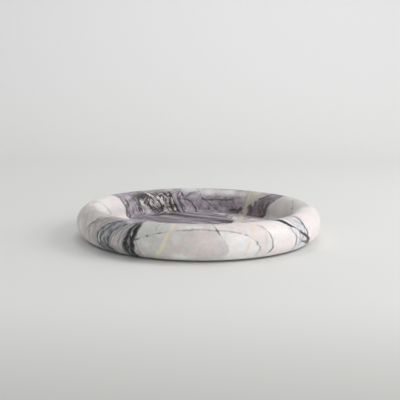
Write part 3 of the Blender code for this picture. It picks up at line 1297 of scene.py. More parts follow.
SHARDS_RIGHT: Route = ((50, 229), (60, 228.5), (75, 226.5), (86, 224.5), (100, 222))
WHITE_SIDE: Route = (
    (50, 243), (58, 242), (64, 241.5), (70, 241), (76, 239.6), (86, 238.2), (95, 238.4), (100, 239)
)
REAR_LEFT_END: Route = ((50, 290), (100, 290))
# How the streaks of the rear wall lean: girth, then how far they move round
SHARD_LEAN: Route = ((50, 10), (66, 5), (85, -4), (100, -10))
SLIGHT_LEAN: Route = ((50, 3), (75, 0), (100, -3))
# The outer face at the back, which isn't seen: girth, then azimuth
OUTER_RIGHT: Route = ((-10, 108), (50, 110))
OUTER_LEFT: Route = ((-10, 236), (50, 244))
OUTER_END: Route = ((-10, 276), (50, 268))
OUTER_LEAN: Route = ((-10, 10), (20, 4), (50, -4))
OUTER_SPAN: Span = (-12, 44)
OUTER_EDGE = 6.0


def outer_grain(low: Route, high: Route, tone: Tone, cover: float, size: Span, level: float,
                seed: float) -> Grain:
    """Makes random streaks that run up the outer face at the back."""
    return Grain(Run.UP_BACK, low, high, OUTER_SPAN, tone, cover, size, level, OUTER_LEAN, seed,
                 edge=OUTER_EDGE)


REAR_GRAINS: tuple[Grain, ...] = (
    outer_grain(OUTER_RIGHT, OUTER_LEFT, Tone.PEARL, 0.9, (34, 46), 0.45, 51.5),
    outer_grain(OUTER_RIGHT, OUTER_LEFT, Tone.BLUSH, 0.7, (18, 30), 0.55, 52.5),
    outer_grain(SHARDS_LEFT, WHITE_SIDE, Tone.MAUVE, 0.7, (5, 40), 0.50, 53.5),
    outer_grain(SHARDS_LEFT, WHITE_SIDE, Tone.LEAD, 0.8, (2.6, 60), 0.60, 54.5),
    outer_grain(PLUM_RIGHT, AMBER_REAR, Tone.BARK, 0.7, (3, 50), 0.58, 55.5),
    outer_grain(AMBER_REAR, SHARDS_LEFT, Tone.ASH, 0.7, (2, 70), 0.64, 56.5),
    outer_grain(OUTER_LEFT, OUTER_END, Tone.PEARL, 0.9, (30, 44), 0.45, 57.5),
    outer_grain(OUTER_LEFT, OUTER_END, Tone.MAUVE, 0.6, (7, 60), 0.58, 58.5),
    outer_grain(OUTER_LEFT, OUTER_END, Tone.LEAD, 0.8, (2.2, 80), 0.66, 59.5),
    REAR.grain(SHARDS_LEFT, SHARDS_RIGHT, (60, 99),
               Tone.MAUVE, 0.85, (4.2, 15), 0.50, SHARD_LEAN, 11.5, angular=True),
    REAR.grain(SHARDS_LEFT, SHARDS_RIGHT, (62, 99),
               Tone.UMBER, 0.95, (3.4, 16), 0.44, SHARD_LEAN, 31.5, angular=True),
    REAR.grain(SHARDS_LEFT, SHARDS_RIGHT, (62, 99),
               Tone.BLUSH, 0.85, (3, 13), 0.84, SHARD_LEAN, 32.5, angular=True),
    REAR.grain(SHARDS_LEFT, SHARDS_RIGHT, (62, 99),
               Tone.CREAM, 0.7, (2.6, 10), 0.86, SHARD_LEAN, 33.5, angular=True),
    REAR.grain(SHARDS_LEFT, SHARDS_RIGHT, (62, 99), Tone.INK, 1, (2.9, 22), 0.52, SHARD_LEAN, 12.5),
    REAR.grain(SHARDS_LEFT, SHARDS_RIGHT, (60, 99), Tone.PEARL, 0.8, (1.8, 14), 0.60, SHARD_LEAN, 13.5),
    REAR.grain(SHARDS_RIGHT, WHITE_SIDE, (56, 99), Tone.MAUVE, 0.8, (2.6, 14), 0.50, SLIGHT_LEAN, 14.5),
    REAR.grain(SHARDS_RIGHT, WHITE_SIDE, (56, 99), Tone.ROSE, 0.5, (1.6, 12), 0.60, SLIGHT_LEAN, 34.5),
    REAR.grain(SHARDS_RIGHT, WHITE_SIDE, (56, 99), Tone.LEAD, 0.85, (2.2, 19), 0.53, SLIGHT_LEAN, 15.5),
    REAR.grain(GREY_LEFT, SHARDS_LEFT, (58, 99), Tone.MAUVE, 0.8, (2.4, 14), 0.52, SHARD_LEAN, 16.5),
    REAR.grain(GREY_LEFT, SHARDS_LEFT, (60, 99), Tone.LEAD, 0.8, (2, 17), 0.56, SHARD_LEAN, 17.5),
    REAR.grain(GREY_LEFT, SHARDS_LEFT, (62, 99), Tone.COAL, 0.8, (1.6, 18), 0.61, SHARD_LEAN, 35.5),
    REAR.grain(AMBER_REAR, GREY_LEFT, (70, 99), Tone.MAUVE, 0.55, (4, 8), 0.52, SHARD_LEAN, 18.5),
    REAR.grain(AMBER_REAR, GREY_LEFT, (70, 99), Tone.LEAD, 0.5, (2.4, 7), 0.56, SHARD_LEAN, 19.5),
    REAR.grain(PLUM_RIGHT, PLUM_LEFT, (62, 99), Tone.BARK, 0.6, (1.8, 12), 0.53, SLIGHT_LEAN, 20.5),
    REAR.grain(PLUM_RIGHT, PLUM_LEFT, (62, 99), Tone.LILAC, 0.6, (1.6, 10), 0.57, SLIGHT_LEAN, 21.5),
)

REAR_VEINS: tuple[Band | Field | Stain, ...] = (
    REAR.field(REAR_RIGHT_END, BLUE_SLIVER, Tone.SHELL, edge=2.0),
    REAR.field(BLUE_SLIVER, PLUM_RIGHT, Tone.MIST),
    REAR.field(PLUM_RIGHT, PLUM_LEFT, Tone.PLUM),
    REAR.field(PLUM_LEFT, AMBER_REAR, Tone.CREAM),
    REAR.field(AMBER_REAR, GREY_LEFT, Tone.HEATHER, edge=9.0),
    REAR.field(GREY_LEFT, LINE_167, Tone.LILAC, edge=9.0),
    REAR.field(LINE_167, SHARDS_LEFT, Tone.HEATHER),
    REAR.field(SHARDS_LEFT, SHARDS_RIGHT, Tone.HEATHER, edge=3.0),
    REAR.field(SHARDS_RIGHT, WHITE_SIDE, Tone.LILAC, edge=3.0),
    REAR.field(WHITE_SIDE, REAR_LEFT_END, Tone.WARM_WHITE),
    # Pale wall at the right
    Stain(96, 60, (18, 8), Tone.BLUSH, 0.6),
    Stain(113, 78, (12, 13), Tone.BLUSH, 0.6),
    Stain(109, 79, (14, 10), Tone.PEARL, 0.6),
    Stain(95, 66, (9, 8), Tone.MIST, 0.5),
    Stain(111, 57, (14, 5), Tone.BLUSH, 0.6),
    REAR.line((
        (57, 108, 0.6), (61, 104.6, 1), (65, 100, 1.6), (68, 96.4, 2.6), (71, 93, 4), (74, 90.4, 3),
        (80, 87, 0.8)
    ), Tone.LEAD, 0.7, 3.4, 0.9),
    Stain(101, 60, (6, 5), Tone.MIST, 0.55),
    # Plum patch
    Stain(127, 60, (12, 6), Tone.LILAC, 0.85),
    Stain(124, 66, (6, 6), Tone.HEATHER, 0.7),
    REAR.line((
        (58, 119.6, 0.8), (64, 121, 1.3), (70, 123, 1.6), (76, 126, 1.8), (82, 127.2, 1.9),
        (90, 128.2, 1.7), (96, 128.4, 1.2)
    ), Tone.COAL, 0.85, 1.8),
    Stain(130, 93, (4, 4), Tone.INK, 0.8),
    REAR.line(((72, 131, 1), (84, 132, 2), (94, 133, 1.5)), Tone.BARK, 0.5, 3),
    REAR.line(((70, 134, 1), (80, 136, 1.8), (92, 138, 1.6)), Tone.LILAC, 0.35, 3),
    REAR.line(((76, 139, 1.4), (86, 141, 2), (96, 141, 1.6)), Tone.BARK, 0.5, 3),
    REAR.line((
        (56, 129.5, 0.5), (62, 130.8, 1), (66, 132.6, 1.4), (70, 135.8, 1.6), (73.6, 138.8, 1.6),
        (77, 140.4, 1.6), (81, 142.6, 1.3), (84, 143.4, 0.7)
    ), Tone.COAL, 0.9, 1.6),
    # Amber streak
    REAR.line((
        (54, 145, 1.2), (63, 145, 1.7), (72, 144.8, 1.9), (80, 145, 1.6), (88, 146, 1.5), (97, 146, 1.6)
    ), Tone.AMBER, 0.6, 2.4),
    Stain(140, 77, (4, 5), Tone.PEARL, 0.5),
    Stain(140, 59, (7, 5), Tone.PEARL, 0.6),
    Stain(133, 59, (6, 5), Tone.LILAC, 0.7),
    Stain(138, 71, (7, 5), Tone.MIST, 0.8),
    Stain(138, 75.4, (3.4, 3.4), Tone.UMBER, 0.55),
    # Grey part behind
    Stain(150, 64, (10, 8), Tone.SHELL, 0.9),
    Stain(160, 63, (20, 10), Tone.PEARL),
    Stain(173, 63, (20, 11), Tone.PEARL),
    Stain(185, 58, (20, 8), Tone.PEARL, 0.9),
    Stain(153, 60, (4, 4), Tone.MIST, 0.7),
    Stain(155, 66, (12, 4), Tone.SHELL, 0.6),
    Stain(168, 60, (22, 5), Tone.SHELL, 0.6),
    Stain(168, 64, (20, 4.5), Tone.SHELL, 0.6),
    Stain(174, 81, (14, 8), Tone.MAUVE, 0.7),
    Stain(154, 92, (11, 6), Tone.UMBER, 0.8),
    Stain(187, 77, (7, 3.5), Tone.HEATHER, 0.6),
    Stain(147, 93, (6, 4), Tone.HEATHER, 0.7),
    Stain(163, 84, (6, 3), Tone.LEAD, 0.4, lean=-1.0),
    REAR.line(((78, 176, 0.5), (84, 178.4, 0.8), (90, 179.6, 0.6), (96, 180.2, 0.5)), Tone.LEAD, 0.7, 1.3),
    Stain(152, 75, (7, 4), Tone.CREAM, 0.5),
    REAR.line(((72, 156, 1), (82, 156, 2.2), (94, 157, 2)), Tone.LEAD, 0.6, 3.5),
    REAR.line(((78, 162, 1.2), (88, 163, 2), (98, 163, 1.6)), Tone.MAUVE, 0.4, 3.5),
    REAR.arc((
        (156, 75, 0.6), (161, 76, 1), (166, 76, 1.2), (170, 76.4, 1.1), (174, 76.6, 1.1), (177, 75.6, 1.4),
        (178.4, 72, 1.6), (179, 68.5, 1.2), (179.4, 64, 0.8)
    ), Tone.COAL, 0.95, 1.3),
    REAR.line((
        (76, 175.8, 0.6), (80, 173.6, 0.9), (84, 171.4, 1.1), (89, 168.2, 0.9), (94, 165, 0.7)
    ), Tone.COAL, 0.85),
    Stain(173, 89, (1.6, 1.6), Tone.INK, 0.8),
    Stain(164, 93, (3, 3.4), Tone.SLATE, 0.85),
    Stain(176, 86, (5, 4), Tone.ROSE, 0.25),
    REAR.line((
        (84, 149, 1.2), (86, 149.4, 2.6), (88, 149.8, 2.9), (91, 150.6, 2), (94, 151, 0.8)
    ), Tone.INK, 1, 1.4),
    REAR.arc(((151, 89.6, 0.8), (154, 89, 1.3), (157, 89.4, 1), (158.6, 90, 0.5)), Tone.INK, 0.95, 1.3),
    Stain(148, 92, (1.5, 2.2), Tone.INK, 0.9),
    Stain(150.4, 89, (4, 6), Tone.UMBER, 0.5),
    REAR.arc(((133, 58, 0.4), (145, 58.6, 0.7), (154, 58.4, 0.5)), Tone.LEAD, 0.5),
    # Lilac part left of the middle
    Stain(187, 88, (6, 7), Tone.MAUVE, 0.7),
    Stain(184, 72, (9, 5), Tone.MIST, 0.75),
    Stain(190, 66, (8, 5), Tone.MIST, 0.5),
    REAR.line((
        (75, 190.4, 0.6), (76.4, 189.2, 1.8), (77.4, 187.6, 2), (79, 186.2, 1.5), (83, 184.4, 1.2),
        (88, 182.7, 1.4), (94, 182.2, 1.3), (100, 182, 1.1)
    ), Tone.INK, 1, 1.2, 0.3),
    REAR.line(((65, 191.7, 1), (68, 191.5, 1.4), (71.5, 191, 0.9)), Tone.INK, 0.9, 1.3, 0.3),
    REAR.arc(((188, 77, 0.6), (191, 76, 0.8), (194, 74, 0.7), (197, 72, 0.6)), Tone.COAL, 0.7, 1.4),
    REAR.line(((62, 193, 0.8), (70, 195, 1.4), (78, 194.6, 1)), Tone.COAL, 0.7, 1.8),
    REAR.line(((80, 188.4, 0.5), (87, 189.6, 0.9), (94, 189, 0.6)), Tone.ROSE, 0.45, 1.8),
    # Shards
    REAR.arc((
        (211, 72, 1.5), (213.4, 70, 3.5), (216, 67, 6.5), (219, 64.6, 8.5), (222, 63.6, 8.5),
        (225, 63.4, 6.5), (227.6, 62, 2.5)
    ), Tone.UMBER, 0.85, 2, 0.6),
    REAR.line((
        (60, 201, 0.8), (70, 199.6, 1.6), (76, 199, 1.7), (83, 197.2, 1.9), (89, 195.6, 1.8),
        (96, 194, 1.5)
    ), Tone.INK, 1, 1.2, 0.15),
    REAR.line((
        (62, 197, 0.6), (70, 196.6, 1.2), (78, 195.6, 1.5), (86, 194.6, 1.2), (94, 192.8, 0.8)
    ), Tone.MAUVE, 0.7, 1.4),
    REAR.line((
        (74, 195.6, 0.5), (82, 193.4, 1), (90, 191.6, 1.4), (98, 190.4, 1.3)
    ), Tone.COAL, 0.95, 1.2, 0.2),
    Stain(199, 85, (4.6, 10), Tone.UMBER, 0.95),
    REAR.line((
        (96, 197.6, 0.8), (88, 199.4, 1.4), (80, 201.2, 1.4), (70, 203, 0.8)
    ), Tone.INK, 1, 1.1, 0.2),
    REAR.line((
        (84, 206.4, 0.7), (78, 209, 1.2), (70, 212, 1.2), (62, 214, 0.8)
    ), Tone.BARK, 0.95, 1.1, 0.2),
    REAR.line((
        (96, 212, 0.8), (90, 213.6, 1.2), (84, 216.4, 1.2), (76, 219.6, 1)
    ), Tone.BARK, 0.95, 1.1, 0.2),
    REAR.line(((76, 206.2, 0.6), (70, 208.4, 1), (62, 209.6, 0.8)), Tone.COAL, 0.9),
    REAR.line((
        (99, 223.4, 0.8), (90, 225, 1), (82, 225.8, 1), (72, 228.4, 0.9), (60, 229.4, 0.8)
    ), Tone.COAL, 0.9),
    REAR.line(((96, 230.4, 0.8), (88, 230.8, 1.1), (78, 229.4, 0.6)), Tone.LEAD, 0.9, 1.3),
    Stain(215, 68, (4.5, 5), Tone.INK, 0.95),
    REAR.line(((73, 199.6, 0.7), (77, 199.2, 1.1), (82, 198.6, 0.9)), Tone.STRAW, 0.85),
    Stain(201, 90, (2.6, 3), Tone.CREAM, 0.95),
    REAR.line(((84, 204.4, 0.6), (89, 203.8, 2), (95, 203.2, 2.4), (100, 203, 1.6)), Tone.CREAM, 0.95, 1.5),
    REAR.line(((82, 203.6, 0.4), (86, 203.4, 1.2), (90, 202, 1)), Tone.INK, 0.9),
    Stain(207.5, 88, (5.5, 5), Tone.INK, 0.9, 0.6),
    REAR.line((
        (69, 210, 0.9), (73, 208.6, 2.4), (78, 206.2, 2.7), (82, 204.6, 2), (85, 203, 0.7)
    ), Tone.BLUSH, 0.95),
    REAR.line(((66, 205.4, 0.6), (72, 203.2, 1.4), (78, 201.8, 1)), Tone.MAUVE, 0.85),
    REAR.line(((74, 210.6, 0.7), (80, 208, 0.9), (85, 206.2, 0.7)), Tone.INK, 0.85),
    Stain(212, 74, (5, 6), Tone.CREAM, 0.55),
    Stain(213, 82, (5.5, 5), Tone.MIST, 0.85),
    REAR.arc((
        (209, 92, 0.6), (211.5, 88, 1), (214, 85, 1.2), (217, 83.4, 1.2), (219, 81, 1), (218.4, 79, 0.8)
    ), Tone.BARK, 0.95, 1.1),
    REAR.line(((76, 217.4, 0.7), (79, 218, 0.9), (82, 218.6, 0.5)), Tone.BARK, 0.9, 1.1),
    REAR.line(((62, 216, 0.6), (66, 214.4, 1.9), (70, 212.6, 0.8)), Tone.BLUSH, 0.9),
    REAR.line((
        (73, 224, 0.5), (76, 222.6, 1.8), (81, 221.2, 1.8), (86, 219, 1.3), (91, 217, 0.7)
    ), Tone.BLUSH, 0.9),
    REAR.line(((74, 224.6, 0.6), (80, 224, 1), (86, 223, 0.8)), Tone.BARK, 0.85, 1.1),
    Stain(218, 92, (9, 7), Tone.MAUVE, 0.9),
    Stain(203.6, 66, (2.6, 5.5), Tone.INK, 1, lean=-0.5),
    REAR.line((
        (60, 219.6, 1.2), (65, 217.8, 1.6), (70, 215.4, 1.6), (75, 212.8, 1)
    ), Tone.INK, 1, 1.2, 0.2),
    Stain(221, 70.5, (3, 2.6), Tone.INK),
    Stain(224.6, 68, (2.6, 4), Tone.BARK),
    REAR.line(((60, 221, 1), (66, 217.6, 1.4), (71, 216.6, 1.2)), Tone.BARK, 0.9, 1.3),
    Stain(203, 60, (14, 5), Tone.STEEL, 0.6),
    Stain(223, 58.5, (9, 4), Tone.MIST, 0.6),
    Stain(218, 60, (13, 6), Tone.STEEL, 0.85),
    Stain(220, 66, (9, 9), Tone.INK, 0.7, soft=0.9),
    Stain(200, 57.5, (14, 4), Tone.SHELL, 0.8),
    Stain(214, 54.5, (22, 3.6), Tone.SHELL, 0.8),
    Stain(222, 58.5, (7, 5), Tone.PLUM, 0.6),
    Stain(221.6, 63.5, (5, 4), Tone.UMBER, 0.6),
    Stain(215.6, 69, (4, 3.4), Tone.UMBER, 0.8),
    Stain(204, 81, (3, 4), Tone.UMBER, 0.6),
    REAR.line(((68, 214.4, 0.5), (64, 215.6, 1.4), (60, 217, 0.6)), Tone.WARM_WHITE, 0.8),
    REAR.line(((84, 226.4, 0.7), (78, 224.6, 1.3), (72, 225, 0.8)), Tone.COAL, 0.9),
    REAR.line(((94, 209.4, 0.8), (88, 211, 1.4), (83, 213.8, 1)), Tone.INK, 1, 1.1, 0.2),
    # Lilac part and its double edge
    Stain(230, 79, (8, 10), Tone.MAUVE, 0.6),
    Stain(232, 64, (9, 5), Tone.ROSE, 0.35),
    REAR.line((
        (68, 236.4, 0.8), (74, 235.6, 1.5), (80, 235.2, 1.5), (86, 234.8, 1.6), (91, 235.4, 1.5),
        (96, 237.8, 1.3)
    ), Tone.INK, 0.95, 1.2, 0.3),
    REAR.line((
        (62, 238.6, 0.6), (68, 240.2, 1.1), (74, 239.8, 1.5), (80, 238.6, 1.4), (86, 238, 1.5),
        (93, 238.4, 1.3)
    ), Tone.LEAD, 0.95, 1.5, 0.3),
    REAR.line(((86, 222.8, 0.4), (80, 225.4, 1), (72, 227.6, 1.2), (62, 228.8, 0.8)), Tone.COAL, 0.8, 1.6),
    REAR.line(((60, 230, 0.6), (70, 229.6, 0.8), (82, 228.4, 0.8), (92, 226.6, 0.6)), Tone.LEAD, 0.7, 1.3),
    Stain(235, 83, (4, 9), Tone.MAUVE, 0.6),
    Stain(233.6, 81, (3, 10), Tone.BLUSH, 0.5),
    Stain(236.5, 58, (7, 4), Tone.MIST, 0.6),
    # White wall at the left
    Stain(248, 64, (14, 7), Tone.ROSE, 0.3),
    Stain(262, 79, (9, 8), Tone.MAUVE, 0.35),
    Stain(268, 54, (14, 4), Tone.MIST, 0.5),
    REAR.line((
        (49, 276, 0.6), (57.7, 265.2, 1), (66, 264.8, 1.1), (75, 262.2, 1.1), (81, 259.2, 1)
    ), Tone.LEAD, 0.65, 1.8),
    REAR.line(((50, 272, 0.8), (58, 262, 0.8), (66, 260.6, 0.6)), Tone.ASH, 0.5, 1.8),
)

# The lilac part of the floor, of which only the rear is seen over the front rim: y, then x
FLOOR_LEFT: Route = ((-135, -112), (-95, -100), (-60, -104), (0, -106), (57, -104), (118, -90))
FLOOR_RIGHT: Route = (
    (-135, -56), (-98, -50), (-60, -42), (-25, -22), (0, 6), (20, 32), (45, 46), (62, 41), (80, 34),
    (100, 20), (118, 0), (150, -30)
)
# The rear of it, where the streaks fall to the right: x, then y
FLOOR_FRONT: Route = ((-115, 0), (-60, -6), (0, 4), (30, 14), (46, 36))
FLOOR_BACK: Route = ((-115, 118), (0, 118), (20, 100), (34, 80), (41, 62), (46, 45))
FLOOR_FALL: Route = ((-115, 144), (-30, 84), (43, 34), (115, -16))
FLOOR_FALL_SPAN: Span = (-118, 46)
FLOOR_FALL_EDGE = 16.0
# How the streaks run in the front of it: y, then x
FLOOR_TURN: Route = ((-135, -84), (-90, -74), (-40, -66), (0, -58), (40, -66), (90, -96))
FLOOR_TURN_SPAN: Span = (-128, 8)
FLOOR_TURN_EDGE = 8.0
FLOOR_TURN_FADE = 16.0
# How uneven the veins are that run away from the viewer
SHEET_RAGGED = 0.5


def floor_streak(stops: Stops, tone: Tone, cover: float = 1.0, edge: float = 2.0,
                 ragged: float = 0.4) -> Band:
    """Makes a streak that runs across the floor, to the left and the right."""
    return Band(Run.ALONG_X, stops, tone, cover, edge, ragged=ragged, zone=Zone.ELSEWHERE)


def floor_sheet(stops: Stops, tone: Tone, cover: float = 0.8, edge: float = 1.4, lean: float = 0.0) -> Band:
    """Makes a vein that runs away from the viewer, through the floor and the rim's unseen sides."""
    return Band(Run.ALONG_Y, stops, tone, cover, edge, lean, SHEET_RAGGED, Zone.ELSEWHERE)


def floor_grain(tone: Tone, cover: float, size: Span, level: float, seed: float) -> Grain:
    """Makes random streaks in the rear of the lilac part of the floor."""
    return Grain(Run.ALONG_X, FLOOR_FRONT, FLOOR_BACK, FLOOR_FALL_SPAN, tone, cover, size, level,
                 FLOOR_FALL, seed, Zone.ELSEWHERE, edge=FLOOR_FALL_EDGE)


def front_floor_grain(tone: Tone, cover: float, size: Span, level: float, seed: float) -> Grain:
    """Makes random streaks in the front of the lilac part of the floor."""
    return Grain(Run.ALONG_Y, FLOOR_LEFT, FLOOR_RIGHT, FLOOR_TURN_SPAN, tone, cover, size, level,
                 FLOOR_TURN, seed, Zone.ELSEWHERE, edge=FLOOR_TURN_EDGE, fade=FLOOR_TURN_FADE)


FLOOR_GRAINS: tuple[Grain, ...] = (
    floor_grain(Tone.MAUVE, 0.8, (7, 60), 0.50, 41.5),
    floor_grain(Tone.INK, 0.95, (4.5, 60), 0.55, 42.5),
    floor_grain(Tone.PEARL, 0.5, (3, 40), 0.62, 43.5),
    floor_grain(Tone.COAL, 0.8, (2, 35), 0.60, 44.5),
    front_floor_grain(Tone.PEARL, 0.8, (7, 55), 0.47, 45.5),
    front_floor_grain(Tone.MAUVE, 0.8, (3.5, 45), 0.50, 46.5),
    front_floor_grain(Tone.COAL, 0.85, (3, 50), 0.60, 47.5),
    front_floor_grain(Tone.LEAD, 0.7, (1.4, 40), 0.59, 48.5),
)

FLOOR_VEINS: tuple[Band | Field, ...] = (
    Field(Run.ALONG_Y, FLOOR_LEFT, FLOOR_RIGHT, Tone.HEATHER, 1, 2, Zone.ELSEWHERE),
    # A darker band along the foot of the inner wall at the right rear: painted shade where the floor meets
    # the wall
    floor_streak(((40, 96, 8), (52, 88, 13), (66, 78, 11), (84, 62, 7)), Tone.HEATHER, 0.7, 10),
    floor_streak((
        (-70, 108, 3), (-45, 93, 7), (-30, 82, 8), (-15, 73, 6), (0, 65, 5), (15, 56, 6), (28, 47, 8),
        (38, 41, 9), (42, 38, 7)
    ), Tone.PLUM, 0.9, 4),
    floor_streak(((14, 50, 1.5), (24, 46, 3.5), (33, 43, 5.5), (42, 40, 5.5)), Tone.INK, 1, 2.5, 0.2),
    floor_streak(((24, 35, 1), (33, 33, 3), (41, 33, 4)), Tone.INK, 1, 2.5, 0.3),
    floor_streak(((-50, 38, 4), (-38, 35, 5), (-10, 30, 2)), Tone.LEAD, 0.9, 4),
    floor_streak((
        (-70, 84, 3), (-56, 82, 5.5), (-44, 92, 7), (-30, 85, 5), (-18, 75, 4), (0, 64, 3), (10, 56, 1)
    ), Tone.INK, 0.95, 3, 0.3),
    floor_streak(((-80, 60, 1), (-60, 58, 2), (-42, 56, 3), (-20, 50, 1.5)), Tone.LEAD, 0.7, 3),
    floor_streak(((0, 72, 1), (20, 66, 2), (38, 60, 1)), Tone.LEAD, 0.6, 3),
    # The chain and the slate veins of the front, on their way to the rear
    floor_sheet((
        (-135, -66, 4), (-105, -58, 4.5), (-70, -54, 3), (-40, -46, 3.5), (-10, -30, 2), (12, -4, 1)
    ), Tone.INK, 0.95, 2),
    floor_sheet((
        (-130, -98, 2), (-80, -84, 3), (-30, -78, 1.6), (20, -72, 2), (44, -70, 0.8)
    ), Tone.COAL, 0.9, 2.5),
    floor_sheet(((-120, -90, 0.8), (-60, -72, 1.4), (-14, -66, 0.9), (24, -56, 0.6)), Tone.INK, 0.9),
    floor_sheet((
        (-90, -46, 0.8), (-56, -38, 1.3), (-24, -18, 1.4), (2, 8, 1), (18, 30, 1.3), (32, 42, 1)
    ), Tone.COAL),
    # The two amber streaks
    floor_sheet(((-150, -44, 2), (-60, -41, 2.2), (6, -38, 1)), Tone.STRAW, 0.7, 3, 0.51),
    floor_sheet((
        (-150, 44, 2.2), (-60, 46, 2), (37, 50.5, 2.5), (55, 53, 3), (73, 55, 2.5), (100, 60.5, 2),
        (150, 72, 2)
    ), Tone.STRAW, 0.8, 3, 0.37),
    # Thin veins of the front and the rear that cross the floor, and others of their kind
    floor_sheet((
        (-150, 42, 0.9), (-100, 27, 0.7), (-60, 17, 1.1), (0, -2, 0.8), (26, -10, 0.5)
    ), Tone.LEAD, 0.8, 1.4, -0.58),
    floor_sheet(((-118, 60, 0.7), (-70, 66, 1), (-20, 80, 0.6), (30, 84, 1.2), (66, 96, 0.7)), Tone.LEAD),
    floor_sheet(((-60, 84, 0.5), (-20, 80, 0.9), (10, 70, 0.6), (28, 57, 0.5)), Tone.ASH),
    floor_sheet(((60, 76, 0.7), (90, 66, 1), (150, 42, 1.2)), Tone.COAL, 0.8, 1.4, -1.01),
    floor_streak(((-40, -78, 0.5), (0, -86, 0.9), (60, -93, 1), (100, -98, 0.6)), Tone.LEAD, 0.7, 1.4),
    floor_streak(((-20, -104, 0.6), (30, -114, 1), (70, -124, 0.7)), Tone.COAL, 0.7, 1.4),
    floor_streak((
        (70, -30, 0.5), (84, -46, 1.6), (98, -52, 2.4), (112, -60, 3), (128, -66, 2.6)
    ), Tone.BARK, 0.95, 1.6),
    floor_streak(((24, -5, 0.5), (50, -26, 0.9), (84, -52, 1.1), (120, -80, 0.7)), Tone.ASH, 0.8, 1.6),
)

Vein = Band | Field | Stain | Grain


def painted() -> tuple[Vein, ...]:
    """Sorts what is painted.

    Returns:
        The fields first, then the random streaks, and then single veins and stains.
    """
    placed = FLOOR_VEINS + FRONT_VEINS + REAR_VEINS
    fields = [vein for vein in placed if isinstance(vein, Field)]
    single = [vein for vein in placed if not isinstance(vein, Field)]
    return (*fields, *FLOOR_GRAINS, *FRONT_GRAINS, *REAR_GRAINS, *single)


@dataclass(frozen=True)
class Places:
    """Works out where a point of the stone lies, and how far it is in each zone.

    A zone's spans say where it starts and where it is full, in degrees either way or in girth.
    """

    slab_bottom_mm: float = 2.0
    girth_waver: float = 2.6
    uneven_cloud: Cloud = Cloud(5.0, 1.0)
    uneven_levels: Span = (0.25, 0.75)
    front_sides_deg: Span = (106.0, 96.0)
    front_foot_mm: Span = (-2.0, 0.0)
    front_crest_mm: Span = (61.0, 56.0)
    rear_sides_deg: Span = (76.0, 88.0)
    rear_outside_mm: Span = (4.0, 50.0)
    rear_crest_mm: Span = (46.0, 51.0)
    rear_foot_mm: Span = (101.0, 97.0)

    def skin(self, ink: NodeWriter, bent: Socket, warp: Axes) -> Skin:
        """Works out where a point lies.

        Args:
            ink: Where the nodes are written.
            bent: Its place in millimetres, bent a little to make the veins waver.
            warp: The same bending, before it is scaled.

        Returns:
            All the ways of saying where it lies.
        """
        axes = ink.split(bent)
        z = ink.math("SUBTRACT", axes.z, self.slab_bottom_mm)
        angle = ink.math("ARCTAN2", axes.x, ink.math("MULTIPLY", axes.y, -1.0))
        azimuth = ink.math("MULTIPLY", angle, DEG_PER_RADIAN)
        behind = ink.math("LESS_THAN", azimuth, 0.0)
        back_azimuth = ink.math("MULTIPLY_ADD", behind, FULL_TURN_DEG, azimuth)
        radius = ink.vector_math("LENGTH", ink.join(axes.x, axes.y, 0.0))
        mm_per_degree = ink.math("DIVIDE", radius, DEG_PER_RADIAN)
        girth = ink.math("MULTIPLY_ADD", warp.z, self.girth_waver, ink.attribute("girth_mm"))
        uneven = ink.slope(ink.noise(bent, self.uneven_cloud), *self.uneven_levels)

        turned = ink.math("ABSOLUTE", azimuth)
        ahead = ink.step(turned, *self.front_sides_deg)
        over_foot = ink.slope(girth, *self.front_foot_mm)
        outside = ink.math("MULTIPLY", over_foot, ink.step(girth, *self.front_crest_mm))
        front_face = ink.math("MULTIPLY", ahead, outside)
        not_ahead = ink.math("SUBTRACT", 1.0, ahead)
        over_crest = ink.math("MULTIPLY", not_ahead, ink.step(girth, *self.rear_outside_mm))
        within = ink.math("MAXIMUM", ink.slope(girth, *self.rear_crest_mm), over_crest)
        inside = ink.math("MULTIPLY", within, ink.slope(girth, *self.rear_foot_mm))
        rear_wall = ink.math("MULTIPLY", ink.step(turned, *self.rear_sides_deg), inside)
        elsewhere = ink.math("SUBTRACT", 1.0, ink.math("MAXIMUM", front_face, rear_wall))
        zones = {Zone.FRONT_FACE: front_face, Zone.REAR_WALL: rear_wall, Zone.ELSEWHERE: elsewhere}
        return Skin(axes.x, axes.y, z, azimuth, back_azimuth, girth, mm_per_degree, uneven, zones)


